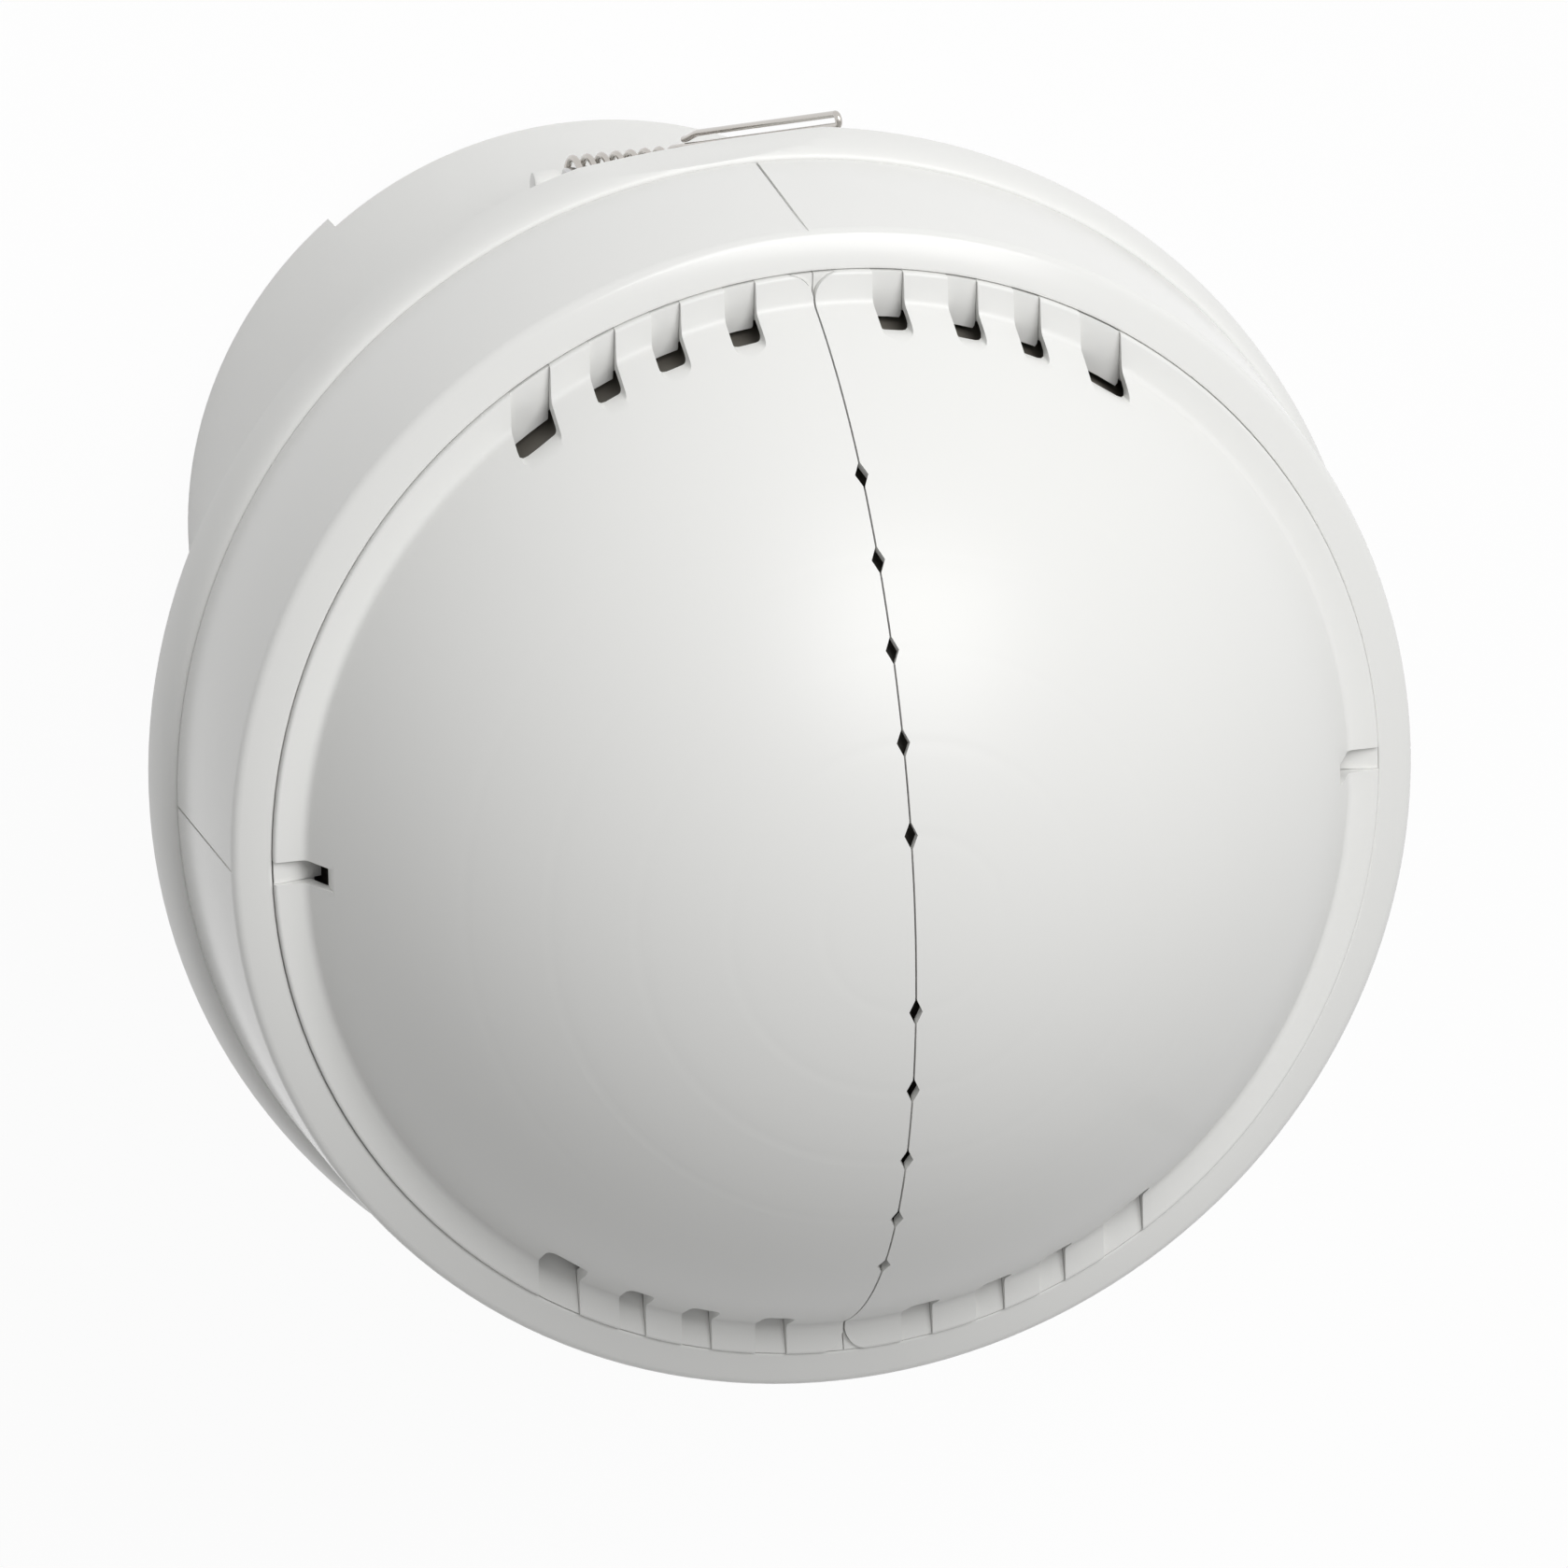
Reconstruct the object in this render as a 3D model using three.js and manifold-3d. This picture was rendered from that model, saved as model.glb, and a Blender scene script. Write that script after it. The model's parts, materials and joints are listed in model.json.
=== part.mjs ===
// Recessed round heat detector: a drum body held in a ceiling hole by two sprung clips, a clamping
// flange, a front bezel, a lens in its ring and a clip-on masking dome in two halves.
// Millimetres. The origin is the centre of the drum's rear face, +Z runs towards the dome's apex,
// +X towards the notch of the right dome half and +Y along the dome's seam to the upper clip.

import * as THREE from 'three';
import { mergeVertices } from 'three/addons/utils/BufferGeometryUtils.js';
import Module from 'manifold-3d';

const wasm = await Module();
wasm.setup();

// Fits and fineness
const fitGap = 0.3;
const cutOver = 1;
const roundSides = 40;
const smallSides = 10;
const domeSteps = 8;
const filletSteps = 4;
const fullTurn = 2 * Math.PI;

// Drum
const drumRadius = 34.9;
const drumDepth = 65.1;
const drumWall = 2;
const drumChamfer = 0.5;
const recessDepth = 2.9;
const recessHalfAngle = THREE.MathUtils.degToRad(38);
const ledgeWidth = 2.5;
const ledgeThick = 1.5;
const quarterPlaces = 4;
const quarterTurn = fullTurn / quarterPlaces;

// Screws
const screwRadius = 1.25;
const screwHeadRadius = 2.3;
const screwHeadHeight = 1.3;
const screwGrip = 8;
const boreSpare = 2;

// Rear cover, its cable clamp and the terminal window
const rearCoverInset = 5;
const rearCoverThick = 2;
const entryWidth = 12;
const entryHeight = 8;
const entryOffset = 22;
const clampWidth = 22;
const clampHeight = 5;
const clampThick = 2;
const clampOffset = 13.5;
const clampArchWidth = 9;
const clampArchRise = 1.5;
const clampScrewSpread = 8;

// Main board and its rails
const boardFaceY = 6;
const boardThick = 1.6;
const railDepth = 4.5;
const railWall = 1.2;
const railFloor = 2.4;
const tongueWidth = 36;
const tongueRise = 7.2;

// Terminal block
const terminalWidth = 38;
const terminalDepth = 14;
const terminalHeight = 11.2;
const terminalCount = 4;
const terminalSink = 0.8;
const wellRadius = 2.3;
const wellDepth = 3;
const wireHoleRadius = 1.6;
const wireHoleDepth = 6;
const terminalScrewHeight = 2;
const screwSlotWidth = 0.6;
const screwSlotDepth = 0.7;

// Parts on the main board
const transformerSideShare = -0.497;
const transformerRiseShare = 0.314;
const coreWidth = 20;
const coreHeight = 17;
const coreThick = 9;
const coreLeg = 5;
const coreYoke = 3.2;
const coreSide = 2.4;
const windingBulge = 3;
const relaySideShare = 0.43;
const relayRiseShare = 0.23;
const relayWidth = 16;
const relayHeight = 12;
const relayDepth = 11;
const relayStep = 0.6;
const relayFoot = 2;
const capacitorRadius = 4;
const capacitorLength = 12;
const capacitorRiseShare = 0.586;
const capacitorSpread = 10;
const capacitorCount = 2;
const capacitorBevel = 0.6;
const fuseLength = 20;
const fuseRadius = 2.4;
const fuseCapRadius = 2.8;
const fuseCapLength = 5;
const fuseRiseShare = 0.837;
const headerWidth = 25.4;
const headerThick = 2.5;
const headerHeight = 7.7;

// Setting dials and the potentiometers that they turn
const dialMargin = 2.263;
const dialRadius = 4.2;
const dialHeight = 4.5;
const dialProud = 2;
const dialShaftRadius = 1.5;
const dialShaftLength = 3.5;
const dialSlotWidth = 1.2;
const dialSlotDepth = 1;
const potWidth = 9.5;
const potHeight = 4.8;
const potSetback = 1.8;

// Mounting flange
const flangeThick = 2.8;
const flangeLand = 1.4;
const flangeBevel = 1.3;
const flangeHoleInset = 4.5;
const collarDepth = 2.5;
const collarWall = 1.6;
const bodyRadius = 51.8;
const beadRise = 6;
const beadWall = 2.2;
const standoffInset = 5.2;
const standoffRadius = 2.6;
const standoffHeight = 5.5;
const standoffBore = 4.5;
const standoffGrip = 3.5;
const standoffCount = 3;

// Front bezel
const bezelHeight = 19.3;
const bodyTaper = 0.6;
const crestWidth = 2.9;
const bezelWall = 1.9;
const bezelLedgeDrop = 2.4;
const bezelLedgeThick = 1.6;
const bezelLedgeReach = 2.4;
const bezelPostRadius = 2.7;
const bezelPostLength = 14.5;
const webThick = 2;
const grooveWidth = 0.6;
const grooveDepth = 0.4;

// Masking dome in two halves
const channelWidth = 0.3;
const rimWidth = 2.8;
const coverProud = 0.5;
const coverPlate = 0.9;
const coverEdgeRound = 0.25;
const skirtWall = 0.8;
const skirtDepth = 1.6;
const domeRiseShare = 0.662;
const domeWall = 1.5;
const seamGap = 0.2;
const seamCorner = 2.2;
const slotReach = 5.05;
const slotCorner = 0.8;
const slotPlaceShares = [0.133, 0.267, 0.382, 0.513];
const slotWidthShares = [0.057, 0.054, 0.048, 0.073];
const notchReach = 4.4;
const notchWidth = 2;
const diamondCount = 5;
const diamondStep = THREE.MathUtils.degToRad(9.1);
const diamondWidth = 1;
const diamondLength = 2.1;

// Lens and its ring
const lensWall = 1.2;
const lensSpace = 1.3;
const ringWall = 1.4;
const ringDepth = 6.5;
const ringLip = 1.6;
const ringLipThick = 1.2;
const ringBevel = 0.3;

// Sensor board
const sensorBoardMargin = 2.7;
const canCount = 3;
const canCircle = 12;
const canRadius = 4;
const canHeight = 4.2;
const canFlangeRadius = 4.6;
const canFlangeThick = 0.6;
const canWindowRadius = 2.6;
const canWindowDepth = 0.4;
const lampInset = 16.2;
const lampRadius = 2.5;
const lampBarrel = 2.4;

// Ceiling clips
const clipAxisZ = 28;
const wireRadius = 0.33;
const coilMeanRadius = 2;
const coilPitch = 1.27;
const coilTurns = 6;
const coilBreakShare = 0.53;
const coilStart = -6.02;
const turnSteps = 8;
const wireSides = 5;
const coilStandoff = 0.37;
const armExit = THREE.MathUtils.degToRad(340);
const armSide = 5.9;
const armTipInset = 1.05;
const armTipSetback = 0.9;
const hairpinGap = 0.55;
const hairpinSteps = 6;
const hairpinShort = 5;
const hairpinTilt = THREE.MathUtils.degToRad(-6);
const leastWireGap = 0.4;
const pinJournalRadius = 0.45;
const lugInner = 6.95;
const lugThick = 2.6;
const lugRadius = 1.2;

// Radii and heights that follow from these sizes
const drumInner = drumRadius - drumWall;
const ledgeRear = rearCoverInset + rearCoverThick + fitGap;
const ledgeFront = ledgeRear + ledgeThick;
const screwHole = screwRadius + fitGap;
const boreDepth = screwGrip + boreSpare;
const postCircle = drumInner - screwHeadRadius - 2 * fitGap;
const postRadius = screwHeadRadius + 3 * fitGap;
const partsFaceY = boardFaceY - fitGap;
const boardBackY = boardFaceY + boardThick;
const boardHalf = drumInner - railFloor - fitGap;
const boardTop = drumDepth - fitGap;
const terminalPitch = terminalWidth / terminalCount;
const terminalRear = rearCoverInset + terminalSink;
const terminalTop = terminalRear + terminalHeight;
const partZ = (share) => terminalTop + share * (boardTop - terminalTop);
const transformerX = transformerSideShare * boardHalf;
const transformerZ = partZ(transformerRiseShare);
const relayX = relaySideShare * boardHalf;
const relayZ = partZ(relayRiseShare);
const capacitorZ = partZ(capacitorRiseShare);
const fuseZ = partZ(fuseRiseShare);
const dialSpread = postCircle * Math.cos(quarterTurn / 2) - postRadius - potWidth / 2 - dialMargin;
const dialY = boardBackY + fitGap + potWidth / 2;
const potRear = ledgeRear + potSetback + fitGap;

const flangeBack = drumDepth + fitGap;
const flangeRadius = bodyRadius + flangeLand;
const flangeHoleRadius = postCircle - flangeHoleInset;
const flangeFace = flangeBack + flangeThick;
const beadTop = flangeBack + beadRise;
const beadInner = bodyRadius - beadWall;
const counterbore = screwHeadHeight + fitGap;
const bezelPostCircle = beadInner - fitGap - bezelPostRadius;
const sensorBoardRadius = bezelPostCircle - bezelPostRadius - sensorBoardMargin;
const standoffCircle = sensorBoardRadius - standoffInset;
const lampOffset = sensorBoardRadius - lampInset;
const standoffTop = flangeFace + standoffHeight;
const sensorBoardBack = standoffTop + fitGap;
const sensorBoardFace = sensorBoardBack + boardThick;

const bezelBottom = beadTop + fitGap;
const bezelCrest = bezelBottom + bezelHeight;
const shoulderRadius = bodyRadius - bodyTaper;
const bezelLip = shoulderRadius - crestWidth;
const bezelLedgeTop = bezelCrest - bezelLedgeDrop;
const bezelLedgeInner = bezelLip - bezelLedgeReach;
const crestFillet = crestWidth / 2;
const bezelPostBottom = flangeFace + fitGap;

const coverTop = bezelCrest + coverProud;
const coverUnder = coverTop - coverPlate;
const coverRimRadius = bezelLip - channelWidth;
const skirtInner = coverRimRadius - skirtWall;
const slotInner = coverRimRadius - slotReach;
const notchInner = coverRimRadius - notchReach;
const domeBaseRadius = coverRimRadius - rimWidth;
const domeRise = domeRiseShare * domeBaseRadius;
const domeRadius = (domeBaseRadius ** 2 + domeRise ** 2) / (2 * domeRise);
const domeInner = domeRadius - domeWall;
const domeCentre = coverTop + domeRise - domeRadius;
const lensRadius = domeInner - lensSpace;
const ringTop = coverUnder - fitGap;
const ringBottom = ringTop - ringDepth;
const ringOuter = bezelLedgeInner - fitGap;
const ringInner = ringOuter - ringWall;
const lensCollar = ringInner - fitGap;
const lensBottom = ringBottom + ringLipThick + fitGap;

const clipAxisY = drumRadius + coilMeanRadius + wireRadius + coilStandoff;
const pinBarrelRadius = coilMeanRadius * Math.cos(Math.PI / turnSteps) - wireRadius - fitGap;

// A closed geometry as a solid that can be cut and joined
function toSolid(geometry) {
  const shell = geometry.clone();
  shell.deleteAttribute('normal');
  shell.deleteAttribute('uv');
  const merged = mergeVertices(shell);
  const corner = (index) => new THREE.Vector3().fromBufferAttribute(merged.attributes.position, index);
  const faces = [];
  let volume = 0;
  for (let start = 0; start < merged.index.count; start += 3) {
    const [a, b, c] = [0, 1, 2].map((step) => merged.index.getX(start + step));
    if (a === b || b === c || c === a) continue;
    faces.push([a, b, c]);
    volume += corner(a).dot(corner(b).cross(corner(c)));
  }
  const outward = volume > 0 ? faces : faces.map((face) => face.reverse());
  return new wasm.Manifold(new wasm.Mesh({
    numProp: 3,
    vertProperties: merged.attributes.position.array,
    triVerts: Uint32Array.from(outward.flat()),
  }));
}

const solidOf = (shape) => (shape.isBufferGeometry ? toSolid(shape) : shape);
const join = (...shapes) => shapes.map(solidOf).reduce((whole, next) => whole.add(next));
const cut = (shape, ...tools) => tools.map(solidOf)
  .reduce((rest, tool) => rest.subtract(tool), solidOf(shape));

// Turned shape from [radius, height] points that start and end on the axis
function turned(profile, sides = roundSides) {
  const points = profile.map(([radius, height]) => new THREE.Vector2(radius, height));
  return new THREE.LatheGeometry(points, sides).rotateX(quarterTurn);
}

// Turned ring from the [radius, height] corners of its section
const ring = (section, sides = roundSides) => turned([...section, section[0]], sides);

// Points of an elliptic arc in a section or a plan
function arc(centre, radii, from, to, steps) {
  return Array.from({ length: steps + 1 }, (_, step) => {
    const angle = from + (to - from) * step / steps;
    return [centre[0] + radii[0] * Math.cos(angle), centre[1] + radii[1] * Math.sin(angle)];
  });
}

// Round bar parallel to Z
function rod(radius, low, high, sides = smallSides) {
  const bar = new THREE.CylinderGeometry(radius, radius, high - low, sides);
  return bar.rotateX(quarterTurn).translate(0, 0, (low + high) / 2);
}

// Block between two corners
function block(low, high) {
  const size = high.map((value, axis) => value - low[axis]);
  const middle = high.map((value, axis) => (value + low[axis]) / 2);
  return new THREE.BoxGeometry(...size).translate(...middle);
}

// Upright prism on an outline of [x, y] points
function prism(outline, low, high) {
  const shape = new THREE.Shape(outline.map(([x, y]) => new THREE.Vector2(x, y)));
  const settings = { depth: high - low, bevelEnabled: false };
  return new THREE.ExtrudeGeometry(shape, settings).translate(0, 0, low);
}

// Places spaced evenly on a circle about Z, from a first angle
function placesAround(count, circle, first) {
  return Array.from({ length: count }, (_, place) => {
    const angle = first + fullTurn * place / count;
    return [circle * Math.cos(angle), circle * Math.sin(angle)];
  });
}

const diagonals = (circle) => placesAround(quarterPlaces, circle, quarterTurn / 2);
const standoffPlaces = () => placesAround(standoffCount, standoffCircle, -quarterTurn);

// A shape made anew at each place
const copies = (places, make) => places.map(([x, y]) => make().translate(x, y, 0));

// Screw with its seat at height 0, its thread towards +Z and its head towards -Z
function screw(length) {
  return turned([
    [0, -screwHeadHeight],
    [screwHeadRadius, -screwHeadHeight],
    [screwHeadRadius, 0],
    [screwRadius, 0],
    [screwRadius, length],
    [0, length],
  ], smallSides);
}

// Tube along points, its sections carried along the path without twist
function wire(points, radius, sides) {
  const last = points.length - 1;
  const corners = [];
  let across = new THREE.Vector3(1, 0, 0);
  points.forEach((point, index) => {
    const along = points[Math.min(index + 1, last)].clone().sub(points[Math.max(index - 1, 0)]).normalize();
    across = across.clone().addScaledVector(along, -across.dot(along)).normalize();
    const over = along.clone().cross(across);
    for (let side = 0; side < sides; side += 1) {
      const angle = fullTurn * side / sides;
      const spoke = across.clone().multiplyScalar(Math.cos(angle)).addScaledVector(over, Math.sin(angle));
      corners.push(...point.clone().addScaledVector(spoke, radius).toArray());
    }
  });
  const faces = [];
  for (let step = 0; step < last; step += 1) {
    for (let side = 0; side < sides; side += 1) {
      const here = step * sides + side;
      const next = step * sides + (side + 1) % sides;
      faces.push(here, next, here + sides, next, next + sides, here + sides);
    }
  }
  for (let side = 1; side < sides - 1; side += 1) {
    faces.push(0, side + 1, side, last * sides, last * sides + side, last * sides + side + 1);
  }
  const tube = new THREE.BufferGeometry();
  tube.setAttribute('position', new THREE.Float32BufferAttribute(corners, 3));
  tube.setIndex(faces);
  return tube;
}

// Least gap of a wire to itself, between points further apart along it than one bend
function reportWireGap(name, points, bendLength) {
  const along = [0];
  points.slice(1).forEach((point, index) => along.push(along[index] + point.distanceTo(points[index])));
  let least = Infinity;
  points.forEach((point, index) => {
    points.slice(index + 1).forEach((other, offset) => {
      const apart = along[index + 1 + offset] - along[index];
      if (apart >= bendLength) least = Math.min(least, point.distanceTo(other) - 2 * wireRadius);
    });
  });
  const verdict = least > leastWireGap ? 'over' : 'NOT over';
  console.log(`${name}: least gap to itself ${least.toFixed(2)} mm, ${verdict} ${leastWireGap} mm`);
}

const finish = (color, roughness, metalness) => ({ color, roughness, metalness });
const whitePlastic = finish('#e6e7e3', 0.35, 0);
const greyPlastic = finish('#b9bbb8', 0.5, 0);
const blackPlastic = finish('#242628', 0.5, 0);
const greenTerminal = finish('#3f7a54', 0.5, 0);
const smokedLens = finish('#5a564e', 0.3, 0);
const boardGreen = finish('#1f5a3a', 0.45, 0);
const springWire = finish('#9a948c', 0.25, 1);
const plainSteel = finish('#a9abad', 0.35, 1);
const copperWinding = finish('#8a5230', 0.45, 0.6);
const clearLamp = finish('#d8dad2', 0.15, 0);
const redLamp = finish('#b4382c', 0.2, 0);

// Named mesh of a solid in its own finish
function piece(parent, name, shape, look, place = [0, 0, 0]) {
  const made = solidOf(shape).getMesh();
  const geometry = new THREE.BufferGeometry();
  geometry.setAttribute('position', new THREE.BufferAttribute(made.vertProperties, made.numProp));
  geometry.setIndex(new THREE.BufferAttribute(made.triVerts, 1));
  geometry.computeVertexNormals();
  const mesh = new THREE.Mesh(geometry, new THREE.MeshStandardMaterial(look));
  mesh.name = name;
  mesh.position.set(...place);
  parent.add(mesh);
}

// Set of like screws with their seats at one height; a negative length points the thread to -Z
function screwSet(parent, name, places, seat, length) {
  places.forEach(([x, y], index) => {
    const shape = screw(Math.abs(length));
    if (length < 0) shape.rotateX(Math.PI);
    piece(parent, `${name}_${index + 1}`, shape, plainSteel, [x, y, seat]);
  });
}

// Plan corners of the rear edge's shallow recess on the +Y side
function recessPlan() {
  const reach = drumRadius + cutOver;
  const sideways = reach * Math.sin(recessHalfAngle);
  const outward = reach * Math.cos(recessHalfAngle);
  return [[0, 0], [sideways, outward], [sideways, reach], [-sideways, reach], [-sideways, outward]];
}

function drumHousing() {
  const wall = ring([
    [drumInner, 0],
    [drumRadius - drumChamfer, 0],
    [drumRadius, drumChamfer],
    [drumRadius, drumDepth],
    [drumInner, drumDepth],
    [drumInner, ledgeFront],
    [drumInner - ledgeWidth, ledgeFront],
    [drumInner - ledgeWidth, ledgeRear],
    [drumInner, ledgeRear],
  ]);
  const posts = copies(diagonals(postCircle), () => rod(postRadius, ledgeRear, drumDepth));
  const rails = [-1, 1].map((side) => {
    const edges = [side * (drumInner - railDepth), side * drumInner].sort((a, b) => a - b);
    return block([edges[0], boardFaceY - fitGap - railWall, ledgeRear],
      [edges[1], boardBackY + fitGap + railWall, drumDepth]);
  });
  const whole = join(wall, ...posts, ...rails, ...lugs());
  const slots = block(
    [-drumInner + railFloor, boardFaceY - fitGap, ledgeFront],
    [drumInner - railFloor, boardBackY + fitGap, drumDepth + cutOver],
  );
  const rearBore = () => rod(screwHole, ledgeRear - cutOver, ledgeRear + boreDepth);
  const frontBore = () => rod(screwHole, drumDepth - boreDepth, drumDepth + cutOver);
  const bores = [rearBore, frontBore].flatMap((make) => copies(diagonals(postCircle), make));
  const recesses = [0, Math.PI].map((angle) => prism(recessPlan(), -cutOver, recessDepth).rotateZ(angle));
  return cut(whole, slots, ...bores, ...recesses);
}

// Pairs of lugs that hold the two clip pins, each with its round end and bore
function lugs() {
  const plates = [];
  const lugOuter = lugInner + lugThick;
  [0, Math.PI].forEach((angle) => {
    [-1, 1].forEach((side) => {
      const root = block([lugInner, drumInner, clipAxisZ - lugRadius],
        [lugOuter, clipAxisY, clipAxisZ + lugRadius]);
      const end = crossRod(lugRadius, lugInner, lugOuter, roundSides / 2);
      const bore = crossRod(pinJournalRadius + fitGap, lugInner - cutOver, lugOuter + cutOver, smallSides);
      const turn = new THREE.Matrix4().makeRotationZ(angle);
      const mirror = new THREE.Matrix4().makeScale(side, 1, 1);
      const place = (shape) => shape.applyMatrix4(mirror).applyMatrix4(turn);
      plates.push(cut(join(place(root), place(end)), place(bore)));
    });
  });
  return plates;
}

// Round bar parallel to X on the upper clip's axis
function crossRod(radius, from, to, sides) {
  return rod(radius, from, to, sides).rotateY(quarterTurn).translate(0, clipAxisY, clipAxisZ);
}

function rearCover() {
  const outer = rearCoverInset;
  const inner = rearCoverInset + rearCoverThick;
  const disc = rod(drumInner - fitGap, outer, inner, roundSides);
  const window = block(
    [-terminalWidth / 2 - 2 * fitGap, partsFaceY - terminalDepth - 2 * fitGap, outer - cutOver],
    [terminalWidth / 2 + 2 * fitGap, partsFaceY + 2 * fitGap, inner + cutOver],
  );
  const halfEntry = (entryWidth - entryHeight) / 2;
  const entryEnd = (x, from) => arc([x, -entryOffset], [entryHeight / 2, entryHeight / 2],
    from, from + Math.PI, 2 * filletSteps);
  const entry = prism([...entryEnd(halfEntry, -quarterTurn), ...entryEnd(-halfEntry, quarterTurn)],
    outer - cutOver, inner + cutOver);
  const hole = (radius, sides) => rod(radius, outer - cutOver, inner + cutOver, sides);
  const dialHoles = [-1, 1].map((side) => hole(dialRadius + fitGap, 2 * smallSides)
    .translate(side * dialSpread, dialY, 0));
  return cut(disc, window, entry, ...dialHoles, ...copies(diagonals(postCircle), () => hole(screwHole)),
    ...clampHoles(outer - cutOver, inner + cutOver));
}

const clampHoles = (low, high) => [-1, 1].map((side) => rod(screwHole, low, high)
  .translate(side * clampScrewSpread, -clampOffset, 0));

// Saddle that grips the cable against the rear cover
function cableClamp() {
  const seat = rearCoverInset - fitGap;
  const back = seat - clampThick;
  const halfArch = clampArchWidth / 2;
  const half = [
    [clampWidth / 2, seat],
    [clampWidth / 2, back],
    [halfArch, back],
    [halfArch - clampArchRise, back - clampArchRise],
  ];
  const inside = [
    [halfArch - 2 * clampArchRise, seat - clampArchRise],
    [halfArch - clampArchRise, seat],
  ];
  const mirrored = (points) => points.map(([x, z]) => [-x, z]).reverse();
  const section = [...half, ...mirrored(half), ...mirrored(inside), ...inside];
  const bar = prism(section, -clampHeight / 2, clampHeight / 2);
  bar.rotateX(quarterTurn).translate(0, -clampOffset, 0);
  return cut(bar, ...clampHoles(0, rearCoverInset));
}

function terminalBlock() {
  const body = block([-terminalWidth / 2, partsFaceY - terminalDepth, terminalRear],
    [terminalWidth / 2, partsFaceY, terminalTop]);
  const wellY = partsFaceY - terminalDepth / 2;
  const wireZ = (terminalRear + terminalTop + wellDepth) / 2;
  const wells = terminalPlaces().map((x) => rod(wellRadius, terminalRear - cutOver, terminalRear + wellDepth)
    .translate(x, wellY, 0));
  const wireHoles = terminalPlaces().map((x) => rod(wireHoleRadius, -cutOver, wireHoleDepth)
    .rotateX(-quarterTurn).translate(x, partsFaceY - terminalDepth, wireZ));
  return cut(body, ...wells, ...wireHoles);
}

function terminalPlaces() {
  const first = -terminalPitch * (terminalCount - 1) / 2;
  return Array.from({ length: terminalCount }, (_, place) => first + terminalPitch * place);
}

// Slotted screw of the terminal block about its own axis, its head at height 0
function terminalScrew() {
  const radius = wellRadius - fitGap;
  return cut(rod(radius, 0, terminalScrewHeight), block(
    [-screwSlotWidth / 2, -wellRadius, -cutOver],
    [screwSlotWidth / 2, wellRadius, screwSlotDepth],
  ));
}

function mainBoard() {
  const low = ledgeFront + fitGap;
  const plate = block([-boardHalf, boardFaceY, low], [boardHalf, boardBackY, boardTop]);
  const tongue = block([-tongueWidth / 2, boardFaceY, low],
    [tongueWidth / 2, boardBackY, boardTop + tongueRise]);
  return join(plate, tongue);
}

// Transformer: an iron core with two windows and a winding round its middle leg
const coreMiddleY = partsFaceY - windingBulge - coreThick / 2 - fitGap;

function transformerCore() {
  const bottom = transformerZ - coreHeight / 2;
  const body = block([transformerX - coreWidth / 2, coreMiddleY - coreThick / 2, bottom],
    [transformerX + coreWidth / 2, coreMiddleY + coreThick / 2, bottom + coreHeight]);
  const windows = [-1, 1].map((side) => {
    const edges = [side * coreLeg / 2, side * (coreWidth / 2 - coreSide)].sort((a, b) => a - b);
    return block([transformerX + edges[0], coreMiddleY - coreThick, bottom + coreYoke],
      [transformerX + edges[1], coreMiddleY + coreThick, bottom + coreHeight - coreYoke]);
  });
  return cut(body, ...windows);
}

function transformerWinding() {
  const halfX = coreWidth / 2 - coreSide - fitGap;
  const halfY = coreThick / 2 + windingBulge + fitGap;
  const halfZ = coreHeight / 2 - coreYoke - fitGap;
  const outer = block([transformerX - halfX, coreMiddleY - halfY, transformerZ - halfZ],
    [transformerX + halfX, coreMiddleY + halfY, transformerZ + halfZ]);
  const boreX = coreLeg / 2 + fitGap;
  const boreY = coreThick / 2 + fitGap;
  const boreZ = halfZ + cutOver;
  const bore = block([transformerX - boreX, coreMiddleY - boreY, transformerZ - boreZ],
    [transformerX + boreX, coreMiddleY + boreY, transformerZ + boreZ]);
  return cut(outer, bore);
}

function relay() {
  const left = relayX - relayWidth / 2;
  const bottom = relayZ - relayHeight / 2;
  const foot = block([left, partsFaceY - relayFoot, bottom],
    [left + relayWidth, partsFaceY, bottom + relayHeight]);
  const cap = block([left + relayStep, partsFaceY - relayDepth, bottom + relayStep],
    [left + relayWidth - relayStep, partsFaceY - relayFoot / 2, bottom + relayHeight - relayStep]);
  return join(foot, cap);
}

// Smoothing capacitor with its foot at the origin, standing towards -Y
function smoothingCapacitor() {
  return turned([
    [0, 0],
    [capacitorRadius, 0],
    [capacitorRadius, capacitorLength - capacitorBevel],
    [capacitorRadius - capacitorBevel, capacitorLength],
    [0, capacitorLength],
  ], smallSides).rotateX(quarterTurn);
}

function fuse() {
  const half = fuseLength / 2;
  const barrel = half - fuseCapLength;
  return turned([
    [0, -half],
    [fuseCapRadius, -half],
    [fuseCapRadius, -barrel],
    [fuseRadius, -barrel],
    [fuseRadius, barrel],
    [fuseCapRadius, barrel],
    [fuseCapRadius, half],
    [0, half],
  ], smallSides).rotateY(quarterTurn).translate(0, partsFaceY - fuseCapRadius, fuseZ);
}

function boardHeader() {
  return block([-headerWidth / 2, partsFaceY - headerThick, sensorBoardBack - fitGap - headerHeight],
    [headerWidth / 2, partsFaceY, sensorBoardBack - fitGap]);
}

// Potentiometer about its own axis, its rear face at height 0
function potentiometer() {
  const half = potWidth / 2;
  const body = block([-half, -half, 0], [half, half, potHeight]);
  return cut(body, rod(dialShaftRadius + fitGap, -cutOver, potHeight + cutOver));
}

// Dial about its own axis, its rear face at height 0, with a pointer slot across half of it
function dial() {
  const body = join(rod(dialRadius, 0, dialHeight, 2 * smallSides),
    rod(dialShaftRadius, dialHeight / 2, dialHeight + dialShaftLength));
  return cut(body, block([-dialSlotWidth / 2, 0, -cutOver],
    [dialSlotWidth / 2, dialRadius + cutOver, dialSlotDepth]));
}

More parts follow.
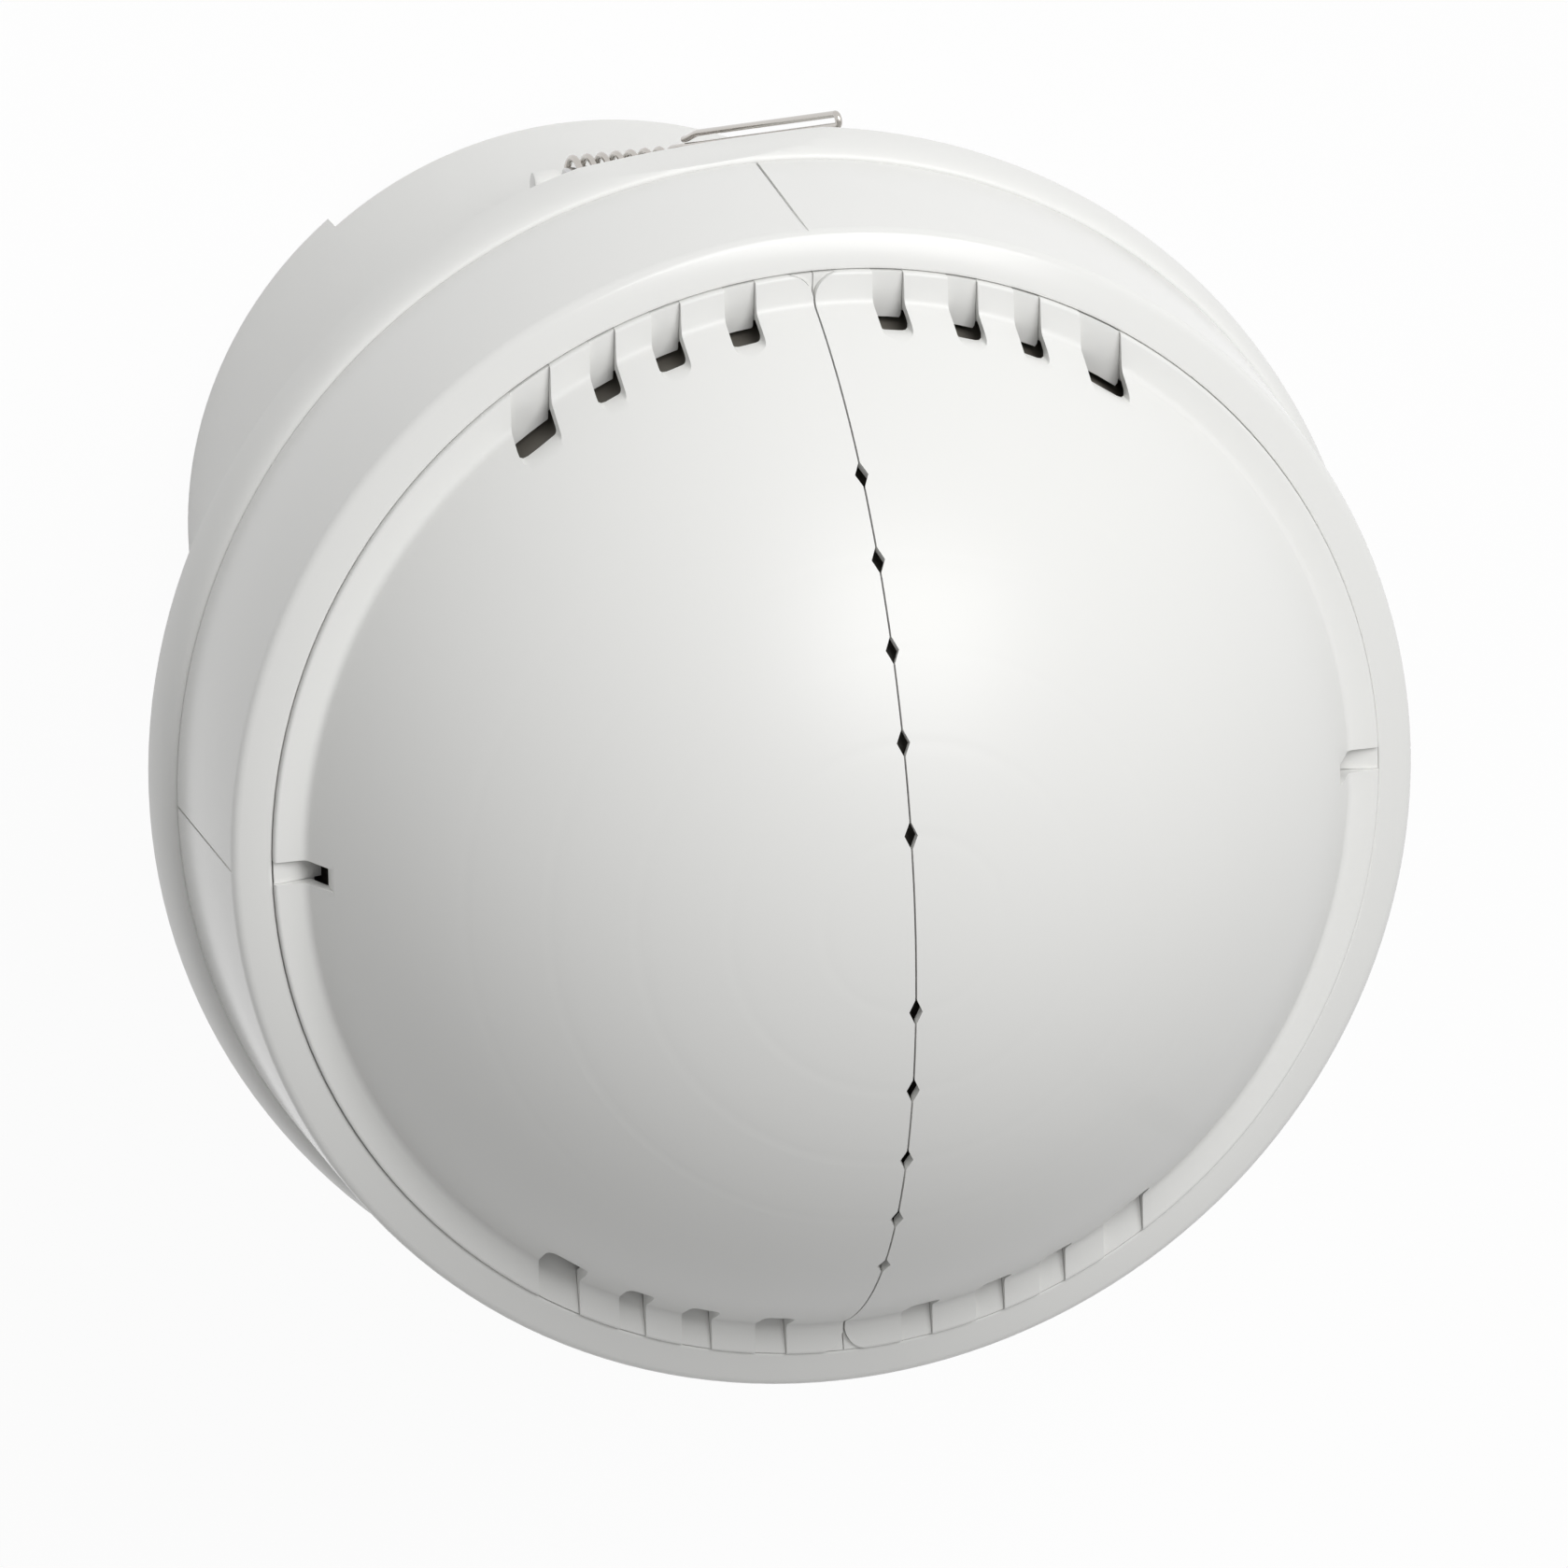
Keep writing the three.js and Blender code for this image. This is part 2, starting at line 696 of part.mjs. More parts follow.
function mountingFlange() {
  const collarInner = drumRadius + fitGap;
  const plate = ring([
    [flangeHoleRadius, flangeBack],
    [collarInner, flangeBack],
    [collarInner, flangeBack - collarDepth],
    [collarInner + collarWall, flangeBack - collarDepth],
    [collarInner + collarWall, flangeBack],
    [flangeRadius - flangeBevel, flangeBack],
    ...arc([bodyRadius, flangeBack + flangeBevel], [flangeRadius - bodyRadius, beadRise - flangeBevel],
      0, quarterTurn, filletSteps),
    [beadInner, beadTop],
    [beadInner, flangeFace],
    [flangeHoleRadius, flangeFace],
  ]);
  const standoff = () => rod(standoffRadius, flangeBack + flangeThick / 2, standoffTop);
  const standoffHole = () => rod(screwHole, standoffTop - standoffBore, standoffTop + cutOver);
  const throughHole = () => rod(screwHole, flangeBack - cutOver, flangeFace + cutOver);
  const headHole = () => rod(screwHeadRadius + fitGap, flangeBack - cutOver, flangeBack + counterbore);
  return cut(join(plate, ...copies(standoffPlaces(), standoff)),
    ...copies(standoffPlaces(), standoffHole),
    ...copies(diagonals(postCircle), throughHole),
    ...copies(diagonals(bezelPostCircle), throughHole),
    ...copies(diagonals(bezelPostCircle), headHole));
}

function frontBezel() {
  const wall = ring([
    [bodyRadius - bezelWall, bezelBottom],
    [bodyRadius, bezelBottom],
    ...arc([shoulderRadius - crestFillet, bezelCrest - crestFillet], [crestFillet, crestFillet],
      0, 2 * quarterTurn, 2 * filletSteps),
    [bezelLip, bezelLedgeTop],
    [bezelLedgeInner, bezelLedgeTop],
    [bezelLedgeInner, bezelLedgeTop - bezelLedgeThick],
    [shoulderRadius - bezelWall, bezelLedgeTop - bezelLedgeThick],
  ]);
  const postTop = bezelPostBottom + bezelPostLength;
  const posts = copies(diagonals(bezelPostCircle), () => rod(bezelPostRadius, bezelPostBottom, postTop));
  const quarters = Array.from({ length: quarterPlaces }, (_, place) => quarterTurn * place);
  const webs = quarters.map((angle) => block([bezelPostCircle, -webThick / 2, bezelBottom],
    [bodyRadius - bezelWall / 2, webThick / 2, postTop]).rotateZ(angle + quarterTurn / 2));
  const bore = () => rod(screwHole, bezelPostBottom - cutOver, bezelPostBottom + boreDepth);
  const grooves = quarters.map((angle) => block(
    [shoulderRadius - grooveDepth, -grooveWidth / 2, bezelBottom - cutOver],
    [bodyRadius + cutOver, grooveWidth / 2, bezelCrest + cutOver],
  ).rotateZ(angle));
  return cut(join(wall, ...posts, ...webs), ...copies(diagonals(bezelPostCircle), bore), ...grooves);
}

function lensRing() {
  const flangeOuter = skirtInner - fitGap;
  const seat = bezelLedgeTop + fitGap;
  return ring([
    [ringInner - ringLip, ringBottom],
    [ringOuter, ringBottom],
    [ringOuter, seat],
    [flangeOuter, seat],
    [flangeOuter, ringTop - ringBevel],
    [flangeOuter - ringBevel, ringTop],
    [ringInner + ringBevel, ringTop],
    [ringInner, ringTop - ringBevel],
    [ringInner, ringBottom + ringLipThick],
    [ringInner - ringLip, ringBottom + ringLipThick],
  ]);
}

// Height angle at which a sphere about the dome's centre has a given radius from the axis
const riseAt = (radius, reach) => Math.acos(reach / radius);

function lens() {
  const outer = lensRadius;
  const inner = lensRadius - lensWall;
  return turned([
    ...arc([0, domeCentre], [outer, outer], quarterTurn, riseAt(outer, lensCollar), domeSteps),
    [lensCollar, lensBottom],
    [lensCollar - lensWall, lensBottom],
    ...arc([0, domeCentre], [inner, inner], riseAt(inner, lensCollar - lensWall), quarterTurn, domeSteps),
  ]);
}

// Both halves of the masking dome with the rim, before the seam is cut
function coverShell() {
  const outerRise = riseAt(domeRadius, domeBaseRadius);
  const innerRise = Math.asin((coverUnder - domeCentre) / domeInner);
  return turned([
    ...arc([0, domeCentre], [domeRadius, domeRadius], quarterTurn, outerRise, domeSteps),
    [coverRimRadius - coverEdgeRound, coverTop],
    [coverRimRadius, coverTop - coverEdgeRound],
    [coverRimRadius, coverTop - skirtDepth],
    [skirtInner, coverTop - skirtDepth],
    [skirtInner, coverUnder],
    ...arc([0, domeCentre], [domeInner, domeInner], innerRise, quarterTurn, domeSteps),
  ]);
}

// Plan outline of one rim slot, its inner end on a circle and its outer end open
function slotPlan(place) {
  const middle = slotPlaceShares[place] * coverRimRadius;
  const half = slotWidthShares[place] * coverRimRadius / 2;
  const reach = coverRimRadius + cutOver;
  const endAt = (x) => Math.sqrt(slotInner ** 2 - x ** 2);
  return [
    [middle - half, reach],
    [middle - half, endAt(middle - half) + slotCorner],
    [middle - half + slotCorner, endAt(middle - half + slotCorner)],
    [middle + half - slotCorner, endAt(middle + half - slotCorner)],
    [middle + half, endAt(middle + half) + slotCorner],
    [middle + half, reach],
  ];
}

// Plan outline of the waste outside the round corner where the rim meets the seam
function seamCornerPlan() {
  const centreX = seamGap / 2 + seamCorner;
  const centreReach = coverRimRadius - seamCorner;
  const centreY = Math.sqrt(centreReach ** 2 - centreX ** 2);
  const outward = Math.atan2(centreY, centreX);
  const far = (coverRimRadius + cutOver) / centreReach;
  return [
    [0, centreY],
    ...arc([centreX, centreY], [seamCorner, seamCorner], Math.PI, outward, 2 * filletSteps),
    [centreX * far, centreY * far],
    [0, centreY * far],
  ];
}

// Diamond through the dome's wall on the seam, tipped from the apex by an angle
function diamond(angle) {
  const halfWidth = diamondWidth / 2;
  const halfLength = diamondLength / 2;
  const outline = [[0, -halfLength], [halfWidth, 0], [0, halfLength], [-halfWidth, 0]];
  return prism(outline, domeInner - cutOver, domeRadius + cutOver)
    .rotateX(angle).translate(0, 0, domeCentre);
}

function coverWithOpenings() {
  const low = coverTop - skirtDepth - cutOver;
  const high = coverTop + domeRadius - slotInner + cutOver;
  const tools = [];
  [-1, 1].forEach((sideX) => {
    [-1, 1].forEach((sideY) => {
      const mirror = new THREE.Matrix4().makeScale(sideX, sideY, 1);
      const plans = [...slotPlaceShares.map((_, place) => slotPlan(place)), seamCornerPlan()];
      plans.forEach((plan) => tools.push(prism(plan, low, high).applyMatrix4(mirror)));
    });
    const edges = [sideX * notchInner, sideX * (coverRimRadius + cutOver)].sort((a, b) => a - b);
    tools.push(block([edges[0], -notchWidth / 2, low], [edges[1], notchWidth / 2, high]));
  });
  for (let step = 1; step <= diamondCount; step += 1) {
    tools.push(diamond(diamondStep * step), diamond(-diamondStep * step));
  }
  return cut(coverShell(), ...tools);
}

// One half of the masking dome: everything beyond half the seam on its side
function coverHalf(whole, side) {
  const reach = coverRimRadius + cutOver;
  const edges = [-side * reach, side * seamGap / 2].sort((a, b) => a - b);
  return cut(whole, block([edges[0], -reach, coverTop - skirtDepth - cutOver],
    [edges[1], reach, domeCentre + domeRadius + cutOver]));
}

function sensorBoard() {
  const disc = rod(sensorBoardRadius, sensorBoardBack, sensorBoardFace, roundSides);
  const hole = () => rod(screwHole, sensorBoardBack - cutOver, sensorBoardFace + cutOver);
  return cut(disc, ...copies(standoffPlaces(), hole));
}

// Metal sensor can about its own axis, standing on height 0
function heatSensor() {
  return turned([
    [0, 0],
    [canFlangeRadius, 0],
    [canFlangeRadius, canFlangeThick],
    [canRadius, canFlangeThick],
    [canRadius, canHeight],
    [canWindowRadius, canHeight],
    [canWindowRadius, canHeight - canWindowDepth],
    [0, canHeight - canWindowDepth],
  ], 2 * smallSides);
}

// Round-ended lamp about its own axis, standing on height 0
function lamp() {
  return turned([
    [0, 0],
    [lampRadius, 0],
    ...arc([0, lampBarrel], [lampRadius, lampRadius], 0, quarterTurn, filletSteps),
  ], smallSides);
}

// Points on the clip's winding, about the clip's own axis, from one angle to another
function windingPoints(start, from, to) {
  const steps = Math.ceil((to - from) / fullTurn * turnSteps);
  return Array.from({ length: steps + 1 }, (_, step) => {
    const angle = from + (to - from) * step / steps;
    const side = start + coilPitch * (angle - from) / fullTurn;
    return new THREE.Vector3(side, coilMeanRadius * Math.cos(angle), coilMeanRadius * Math.sin(angle));
  });
}

// Fixed winding: a straight leg from the drum's wall, then the turns up to the break before the arm
function coilPath() {
  const turns = windingPoints(coilStart, -quarterTurn, (coilTurns - coilBreakShare) * fullTurn - quarterTurn);
  const first = turns[0];
  const wallY = Math.sqrt(drumRadius ** 2 - coilStart ** 2) + fitGap - clipAxisY;
  return [
    new THREE.Vector3(first.x, wallY, first.z),
    new THREE.Vector3(first.x, (wallY + first.y) / 2, first.z),
    ...turns,
  ];
}

// Swinging arm: its own turn round the pin, then a long hairpin that ends short of the turn
function armPath() {
  const start = coilStart + coilTurns * coilPitch;
  const turn = windingPoints(start, -quarterTurn, armExit);
  const exit = turn[turn.length - 1];
  const tip = new THREE.Vector3(
    exit.x + armSide,
    flangeRadius - armTipInset - clipAxisY,
    flangeBack - armTipSetback - clipAxisZ,
  );
  const along = tip.clone().sub(exit).normalize();
  const outward = new THREE.Vector3(0, along.z, -along.y).normalize();
  const sideways = outward.clone().cross(along).normalize();
  const across = outward.clone().multiplyScalar(Math.cos(hairpinTilt))
    .addScaledVector(sideways, Math.sin(hairpinTilt)).normalize();
  const bend = wireRadius + hairpinGap / 2;
  const bendCentre = tip.clone().addScaledVector(along, -bend).addScaledVector(across, bend);
  const bendPoints = Array.from({ length: hairpinSteps + 1 }, (_, step) => {
    const angle = Math.PI * step / hairpinSteps;
    return bendCentre.clone().addScaledVector(across, -bend * Math.cos(angle))
      .addScaledVector(along, bend * Math.sin(angle));
  });
  const last = exit.clone().addScaledVector(across, 2 * bend).addScaledVector(along, hairpinShort);
  return [...turn, ...bendPoints, last];
}

// Pin inside the winding, its thinner ends in the bores of both lugs
function clipPin() {
  const shoulder = lugInner - fitGap;
  const end = lugInner + lugThick - fitGap;
  return turned([
    [0, -end],
    [pinJournalRadius, -end],
    [pinJournalRadius, -shoulder],
    [pinBarrelRadius, -shoulder],
    [pinBarrelRadius, shoulder],
    [pinJournalRadius, shoulder],
    [pinJournalRadius, end],
    [0, end],
  ], smallSides).rotateY(quarterTurn);
}

const detector = new THREE.Group();

// Body of the detector
piece(detector, 'drum_housing', drumHousing(), whitePlastic);
piece(detector, 'mounting_flange', mountingFlange(), whitePlastic);
piece(detector, 'rear_cover', rearCover(), whitePlastic);
piece(detector, 'cable_clamp', cableClamp(), whitePlastic);

// Front of the detector
const front = new THREE.Group();
const openedCover = coverWithOpenings();
piece(front, 'front_bezel', frontBezel(), whitePlastic);
piece(front, 'lens_ring', lensRing(), whitePlastic);
piece(front, 'lens', lens(), smokedLens);
piece(front, 'cover_half_left', coverHalf(openedCover, -1), whitePlastic);
piece(front, 'cover_half_right', coverHalf(openedCover, 1), whitePlastic);
detector.add(front);

// Fasteners: one mesh a screw, each kind on its own circle or row
const fasteners = new THREE.Group();
screwSet(fasteners, 'rear_cover_screw', diagonals(postCircle),
  rearCoverInset - fitGap, 2 * fitGap + rearCoverThick + screwGrip);
screwSet(fasteners, 'drum_screw', diagonals(postCircle),
  flangeFace + fitGap, -(2 * fitGap + flangeThick + screwGrip));
screwSet(fasteners, 'bezel_screw', diagonals(bezelPostCircle),
  flangeBack + counterbore - fitGap, 2 * fitGap + flangeThick - counterbore + screwGrip);
screwSet(fasteners, 'sensor_board_screw', standoffPlaces(),
  sensorBoardFace + fitGap, -(2 * fitGap + boardThick + standoffGrip));
screwSet(fasteners, 'cable_clamp_screw', [-1, 1].map((side) => [side * clampScrewSpread, -clampOffset]),
  rearCoverInset - clampThick - 2 * fitGap, 3 * fitGap + clampThick + rearCoverThick + boreSpare);
detector.add(fasteners);

// Main board with its parts
const electronics = new THREE.Group();
piece(electronics, 'main_board', mainBoard(), boardGreen);
piece(electronics, 'terminal_block', terminalBlock(), greenTerminal);
terminalPlaces().forEach((x, index) => {
  const head = terminalRear + wellDepth - fitGap - terminalScrewHeight;
  piece(electronics, `terminal_screw_${index + 1}`, terminalScrew(), plainSteel,
    [x, partsFaceY - terminalDepth / 2, head]);
});
piece(electronics, 'transformer_core', transformerCore(), plainSteel);
piece(electronics, 'transformer_winding', transformerWinding(), copperWinding);
piece(electronics, 'relay', relay(), blackPlastic);
for (let place = 0; place < capacitorCount; place += 1) {
  const x = relayX + capacitorSpread * (place - (capacitorCount - 1) / 2);
  piece(electronics, `smoothing_capacitor_${place + 1}`, smoothingCapacitor(), blackPlastic,
    [x, partsFaceY, capacitorZ]);
}
piece(electronics, 'fuse', fuse(), clearLamp);
piece(electronics, 'board_header', boardHeader(), blackPlastic);
const settings = [['time', -1], ['light', 1]];
settings.forEach(([name, side]) => {
  const x = side * dialSpread;
  piece(electronics, `potentiometer_${name}`, potentiometer(), blackPlastic, [x, dialY, potRear]);
  piece(electronics, `dial_${name}`, dial(), greyPlastic, [x, dialY, rearCoverInset - dialProud]);
});
detector.add(electronics);

// Sensor board, its fittings standing on the board's front face
const sensing = new THREE.Group();
piece(sensing, 'sensor_board', sensorBoard(), boardGreen);
const fittings = new THREE.Group();
fittings.position.z = sensorBoardFace + fitGap;
for (let place = 0; place < canCount; place += 1) {
  const angle = quarterTurn + fullTurn * place / canCount;
  piece(fittings, `heat_sensor_${place + 1}`, heatSensor(), plainSteel,
    [canCircle * Math.cos(angle), canCircle * Math.sin(angle), 0]);
}
piece(fittings, 'light_sensor', lamp(), clearLamp, [lampOffset, 0, 0]);
piece(fittings, 'status_lamp', lamp(), redLamp, [-lampOffset, 0, 0]);
sensing.add(fittings);
detector.add(sensing);

// Two ceiling clips, the lower one turned half round the drum
const coil = coilPath();
const arm = armPath();
reportWireGap('clip winding', coil, Math.PI * coilMeanRadius);
reportWireGap('clip arm', arm, Math.PI * (wireRadius + hairpinGap / 2) - fitGap);
[['top', 0], ['bottom', Math.PI]].forEach(([name, angle]) => {
  const clip = new THREE.Group();
  clip.rotation.z = angle;
  const place = [0, clipAxisY, clipAxisZ];
  piece(clip, `clip_pin_${name}`, clipPin(), plainSteel, place);
  piece(clip, `clip_spring_${name}`, wire(coil, wireRadius, wireSides), springWire, place);
  piece(clip, `clip_arm_${name}`, wire(arm, wireRadius, wireSides), springWire, place);
  detector.add(clip);
});

export default detector;
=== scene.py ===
import json
import math

import bmesh
import bpy
from bpy.props import FloatProperty, FloatVectorProperty, PointerProperty
from mathutils import Matrix, Vector


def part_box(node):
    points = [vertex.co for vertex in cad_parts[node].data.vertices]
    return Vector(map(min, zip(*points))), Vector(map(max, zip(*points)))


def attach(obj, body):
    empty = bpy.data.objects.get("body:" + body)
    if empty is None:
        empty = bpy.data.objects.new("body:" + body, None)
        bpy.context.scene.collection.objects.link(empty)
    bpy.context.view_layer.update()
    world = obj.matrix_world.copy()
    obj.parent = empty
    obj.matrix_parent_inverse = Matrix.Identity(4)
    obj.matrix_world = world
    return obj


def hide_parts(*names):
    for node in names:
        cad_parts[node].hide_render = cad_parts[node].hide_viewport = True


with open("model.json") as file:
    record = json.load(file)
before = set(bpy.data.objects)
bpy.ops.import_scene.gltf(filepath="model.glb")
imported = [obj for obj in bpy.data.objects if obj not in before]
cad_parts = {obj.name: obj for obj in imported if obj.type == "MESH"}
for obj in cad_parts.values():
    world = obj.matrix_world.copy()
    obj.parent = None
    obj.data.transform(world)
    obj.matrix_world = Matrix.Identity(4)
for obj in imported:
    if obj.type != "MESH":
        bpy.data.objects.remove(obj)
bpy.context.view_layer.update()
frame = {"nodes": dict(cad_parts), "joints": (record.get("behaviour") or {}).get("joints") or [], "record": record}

bl_info = {
    "name": "Recessed Heat Detector",
    "version": (1, 0, 0),
    "blender": (4, 5, 0),
    "location": "3D View > Sidebar > Detector",
    "description": "Builds a recessed round heat detector with ceiling clips and a masking dome",
    "category": "Object",
}

MM = 0.001
FULL_TURN = 2 * math.pi
QUARTER = math.pi / 2

# Fineness of the rounds
ROUND_STEPS = 168
POST_STEPS = 32
SMALL_STEPS = 24
SPHERE_STEP = math.radians(1.5)
CORNER_STEP = math.radians(6)
BEAD_STEP = math.radians(9)
LUG_STEP = math.radians(10)
CORNER_STEPS = 4
WIRE_STEPS = 28
WIRE_FINENESS = 5
SHARP_ANGLE = math.radians(32)
FLAT_ANGLE = math.radians(1)

# Sizes that the frame gives
DRUM_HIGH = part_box("drum_housing")[1]
FLANGE_LOW, FLANGE_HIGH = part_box("mounting_flange")
BEZEL_LOW, BEZEL_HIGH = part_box("front_bezel")
COVER_LOW, COVER_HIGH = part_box("cover_half_right")
RING_LOW, RING_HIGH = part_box("lens_ring")
LENS_LOW, LENS_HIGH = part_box("lens")
REAR_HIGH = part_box("rear_cover")[1]
BOARD_LOW, BOARD_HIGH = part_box("main_board")
PIN_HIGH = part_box("clip_pin_top")[1]
CLIP_AXIS = Vector(next(joint["pos_m"] for joint in frame["joints"] if joint["name"] == "clip_top_swing"))
# The flange's box ends at its standoffs, which rise this far above the bezel's lower edge
STANDOFF_RISE = 2 * MM
BEZEL_FOOT = FLANGE_HIGH.z - STANDOFF_RISE

# The photograph's viewpoint, in the detector's own frame
VIEW_FORWARD = Vector((0.217, -0.321, -0.922))
VIEW_UP = Vector((0.102, 0.947, -0.306))
VIEW_DISTANCE = 2.408
VIEW_AIM = Vector((0, 0, 0.0885))
VIEW_OFFSET_RIGHT = 0.0031
VIEW_OFFSET_UP = -0.0018
VIEW_LENS = 656
VIEW_SENSOR = 36

# Patterns of the finishes: features to a metre
MOTTLE_SCALE = 22
FLOW_SCALE = 90
SPECK_SCALE = 700
GRIT_SCALE = 2600
FACET_SCALE = 190
LENS_SCALE = 60
TARNISH_SCALE = 500
DRAW_SCALE = 3200
PATCH_SCALE = 350
SCRATCH_SCALE = 4200
WEAVE_SCALE = 420
TRACK_SCALE = 130
WINDING_SCALE = 1100
ENAMEL_SCALE = 300
MILK_SCALE = 600
DUST_SCALE = 8

# Depths of the bumps
GRAIN_DEPTH = 0.02 * MM
FACET_DEPTH = 0.3 * MM
SCRATCH_DEPTH = 0.01 * MM
WEAVE_DEPTH = 0.03 * MM
WINDING_DEPTH = 0.08 * MM

# The floor, the lamp and the world
FLOOR_SIZE = 6
FLOOR_DROP = 0.02 * MM
FLOOR_WHITE = 0.95
LAMP_TOWARDS = Vector((0.27, 0.6, 0.75)).normalized()
LAMP_DISTANCE = 1.1
LAMP_SIDE = 0.7
LAMP_POWER = 8.4
WORLD_STRENGTH = 0.31


def length(name, description, millimetres):
    """A length property, its default given in millimetres."""
    return FloatProperty(name=name, description=description, default=millimetres * MM, unit="LENGTH")


def colour(name, description, red, green, blue):
    """A colour property."""
    return FloatVectorProperty(name=name, description=description, subtype="COLOR", size=4,
                               min=0, max=1, default=(red, green, blue, 1))


class DrumSizes(bpy.types.PropertyGroup):
    """Sizes of the drum and its clamping flange."""

    wall: length("Wall", "Thickness of the drum's wall", 2)
    rear_round: length("Rear round", "Rounding of the drum's rear edge", 0.5)
    recess_depth: length("Recess depth", "Depth of the two shallow recesses in the rear edge", 2.9)
    ledge_width: length("Ledge width", "Width of the ledge that carries the rear cover", 2.5)
    ledge_thick: length("Ledge thickness", "Thickness of that ledge", 1.5)
    post_radius: length("Post radius", "Radius of the four screw posts", 3.2)
    post_circle: length("Post circle", "Radius of the circle that the posts stand on", 30)
    bore_radius: length("Bore radius", "Radius of the screw bores", 1.55)
    bore_depth: length("Bore depth", "Depth of the screw bores", 10)
    rail_depth: length("Rail depth", "How far the board's rails reach in from the wall", 4.5)
    rail_wall: length("Rail wall", "Wall beside the slot of a rail", 1.2)
    rail_floor: length("Rail floor", "Material behind the slot of a rail", 2.4)
    lug_inner: length("Lug place", "Distance of a lug's inner face from the middle of its clip", 6.95)
    lug_thick: length("Lug thickness", "Thickness of a lug", 2.6)
    lug_radius: length("Lug radius", "Radius of a lug's round end", 1.2)
    lug_skin: length("Lug skin", "Material of a lug outside the pin's bore", 1)
    flange_thick: length("Flange thickness", "Thickness of the flange's plate", 2.8)
    flange_hole: length("Flange hole", "Radius of the hole in the flange's middle", 25.5)
    flange_bevel: length("Flange bevel", "Bevel of the flange's rear edge", 1.3)
    collar_wall: length("Collar wall", "Wall of the flange's collar round the drum", 1.6)
    bead_wall: length("Bead wall", "Wall of the flange's rounded bead", 2.2)
    standoff_radius: length("Standoff radius", "Radius of the sensor board's standoffs", 2.6)
    standoff_circle: length("Standoff circle", "Radius of the circle that the standoffs stand on", 36)
    standoff_height: length("Standoff height", "Height of the standoffs above the plate", 5.5)
    counterbore: length("Counterbore", "Depth of the counterbores for the bezel's screws", 1.6)
    relief_depth: length("Relief depth", "Depth of the flats on the flange's edge in front of the clips", 1.1)


class FrontSizes(bpy.types.PropertyGroup):
    """Sizes of the bezel, the lens and the masking dome."""

    bezel_wall: length("Bezel wall", "Thickness of the bezel's wall", 1.9)
    shoulder_radius: length("Shoulder radius", "Radius of the bezel at its shoulder", 51.2)
    channel: length("Channel", "Width of the channel between the bezel and the dome's rim", 0.04)
    crest_round: length("Crest rounding", "Rounding of the crest's outer side", 1)
    crest_fall: length("Crest fall", "How far the crest falls from the lip to its outer side", 1)
    lip_round: length("Lip rounding", "Rounding of the bezel's inner lip", 0.25)
    ledge_drop: length("Ledge drop", "Depth of the bezel's ledge below its crest", 2.4)
    ledge_thick: length("Ledge thickness", "Thickness of the bezel's ledge", 1.6)
    ledge_reach: length("Ledge reach", "How far the bezel's ledge reaches in from its lip", 2.4)
    post_radius: length("Bezel post radius", "Radius of the bezel's screw posts", 2.7)
    post_top: length("Bezel post length", "Length of the bezel's screw posts", 14.5)
    web_thick: length("Web thickness", "Thickness of the webs that tie the posts to the wall", 2)
    groove_width: length("Groove width", "Width of the four thin grooves down the bezel", 0.22)
    groove_depth: length("Groove depth", "Depth of these grooves", 0.08)
    joint_line: length("Joint line", "Width of the line between the flange and the bezel", 0.14)
    rim_proud: length("Rim height", "Height of the dome's rim above the bezel's crest", 0.5)
    rim_plate: length("Rim plate", "Thickness of the dome's rim", 0.9)
    rim_round: length("Rim rounding", "Rounding of the rim's outer edge", 0.32)
    skirt_wall: length("Skirt wall", "Wall of the skirt under the rim", 0.8)
    dome_radius: length("Dome radius", "Radius of the dome's sphere", 49.1)
    dome_base: length("Dome base", "Radius at which the dome meets its rim", 45.2)
    dome_wall: length("Dome wall", "Wall of the dome", 0.9)
    dome_fillet: length("Dome fillet", "Fillet between the dome and its rim", 0.8)
    seam: length("Seam", "Width of the seam between the dome's halves", 0.16)
    seam_corner: length("Seam corner", "Rounding in plan of the rim's ends at the seam", 2.2)
    slot_inner: length("Slot reach", "Radius that the rim's slots reach in to", 43.4)
    slot_corner: length("Slot corner", "Rounding of a slot's inner corners", 0.6)
    notch_inner: length("Notch reach", "Radius that the two side notches reach in to", 43.6)
    notch_width: length("Notch width", "Width of the side notches", 2)
    diamond_width: length("Diamond width", "Width of the diamonds along the seam", 1.15)
    diamond_length: length("Diamond length", "Length of the diamonds along the seam", 2.6)
    ring_flange: length("Ring flange", "Width of the lens ring's flange outside its tube", 1.3)
    ring_wall: length("Ring wall", "Wall of the lens ring's tube", 1.4)
    ring_lip: length("Ring lip", "Width of the lip that the lens rests on", 1.6)
    ring_lip_thick: length("Ring lip thickness", "Thickness of that lip", 1.2)
    ring_seat: length("Ring seat", "Depth of the lens ring's seat below the bezel's crest", 2.1)
    lens_wall: length("Lens wall", "Wall of the lens", 1.2)
    ring_depth: length("Ring depth", "Depth of the faint rings round the dome's apex", 0.012)
    ring_width: length("Ring width", "Width of these rings", 1.2)
    tab_gap: length("Tab gap", "Gap beside the ring's tabs in the rim's slots", 0.03)
    tab_sink: length("Tab sink", "How far the tabs lie below the rim", 0.42)
    tab_flat: length("Tab flat", "Width of a tab's level outer part", 0.4)
    tab_reach: length("Tab reach", "How far the tabs reach in past the ring's tube", 0.6)
    tab_fall: length("Tab fall", "How far a tab's inner edge lies below the ring's top", 0.2)


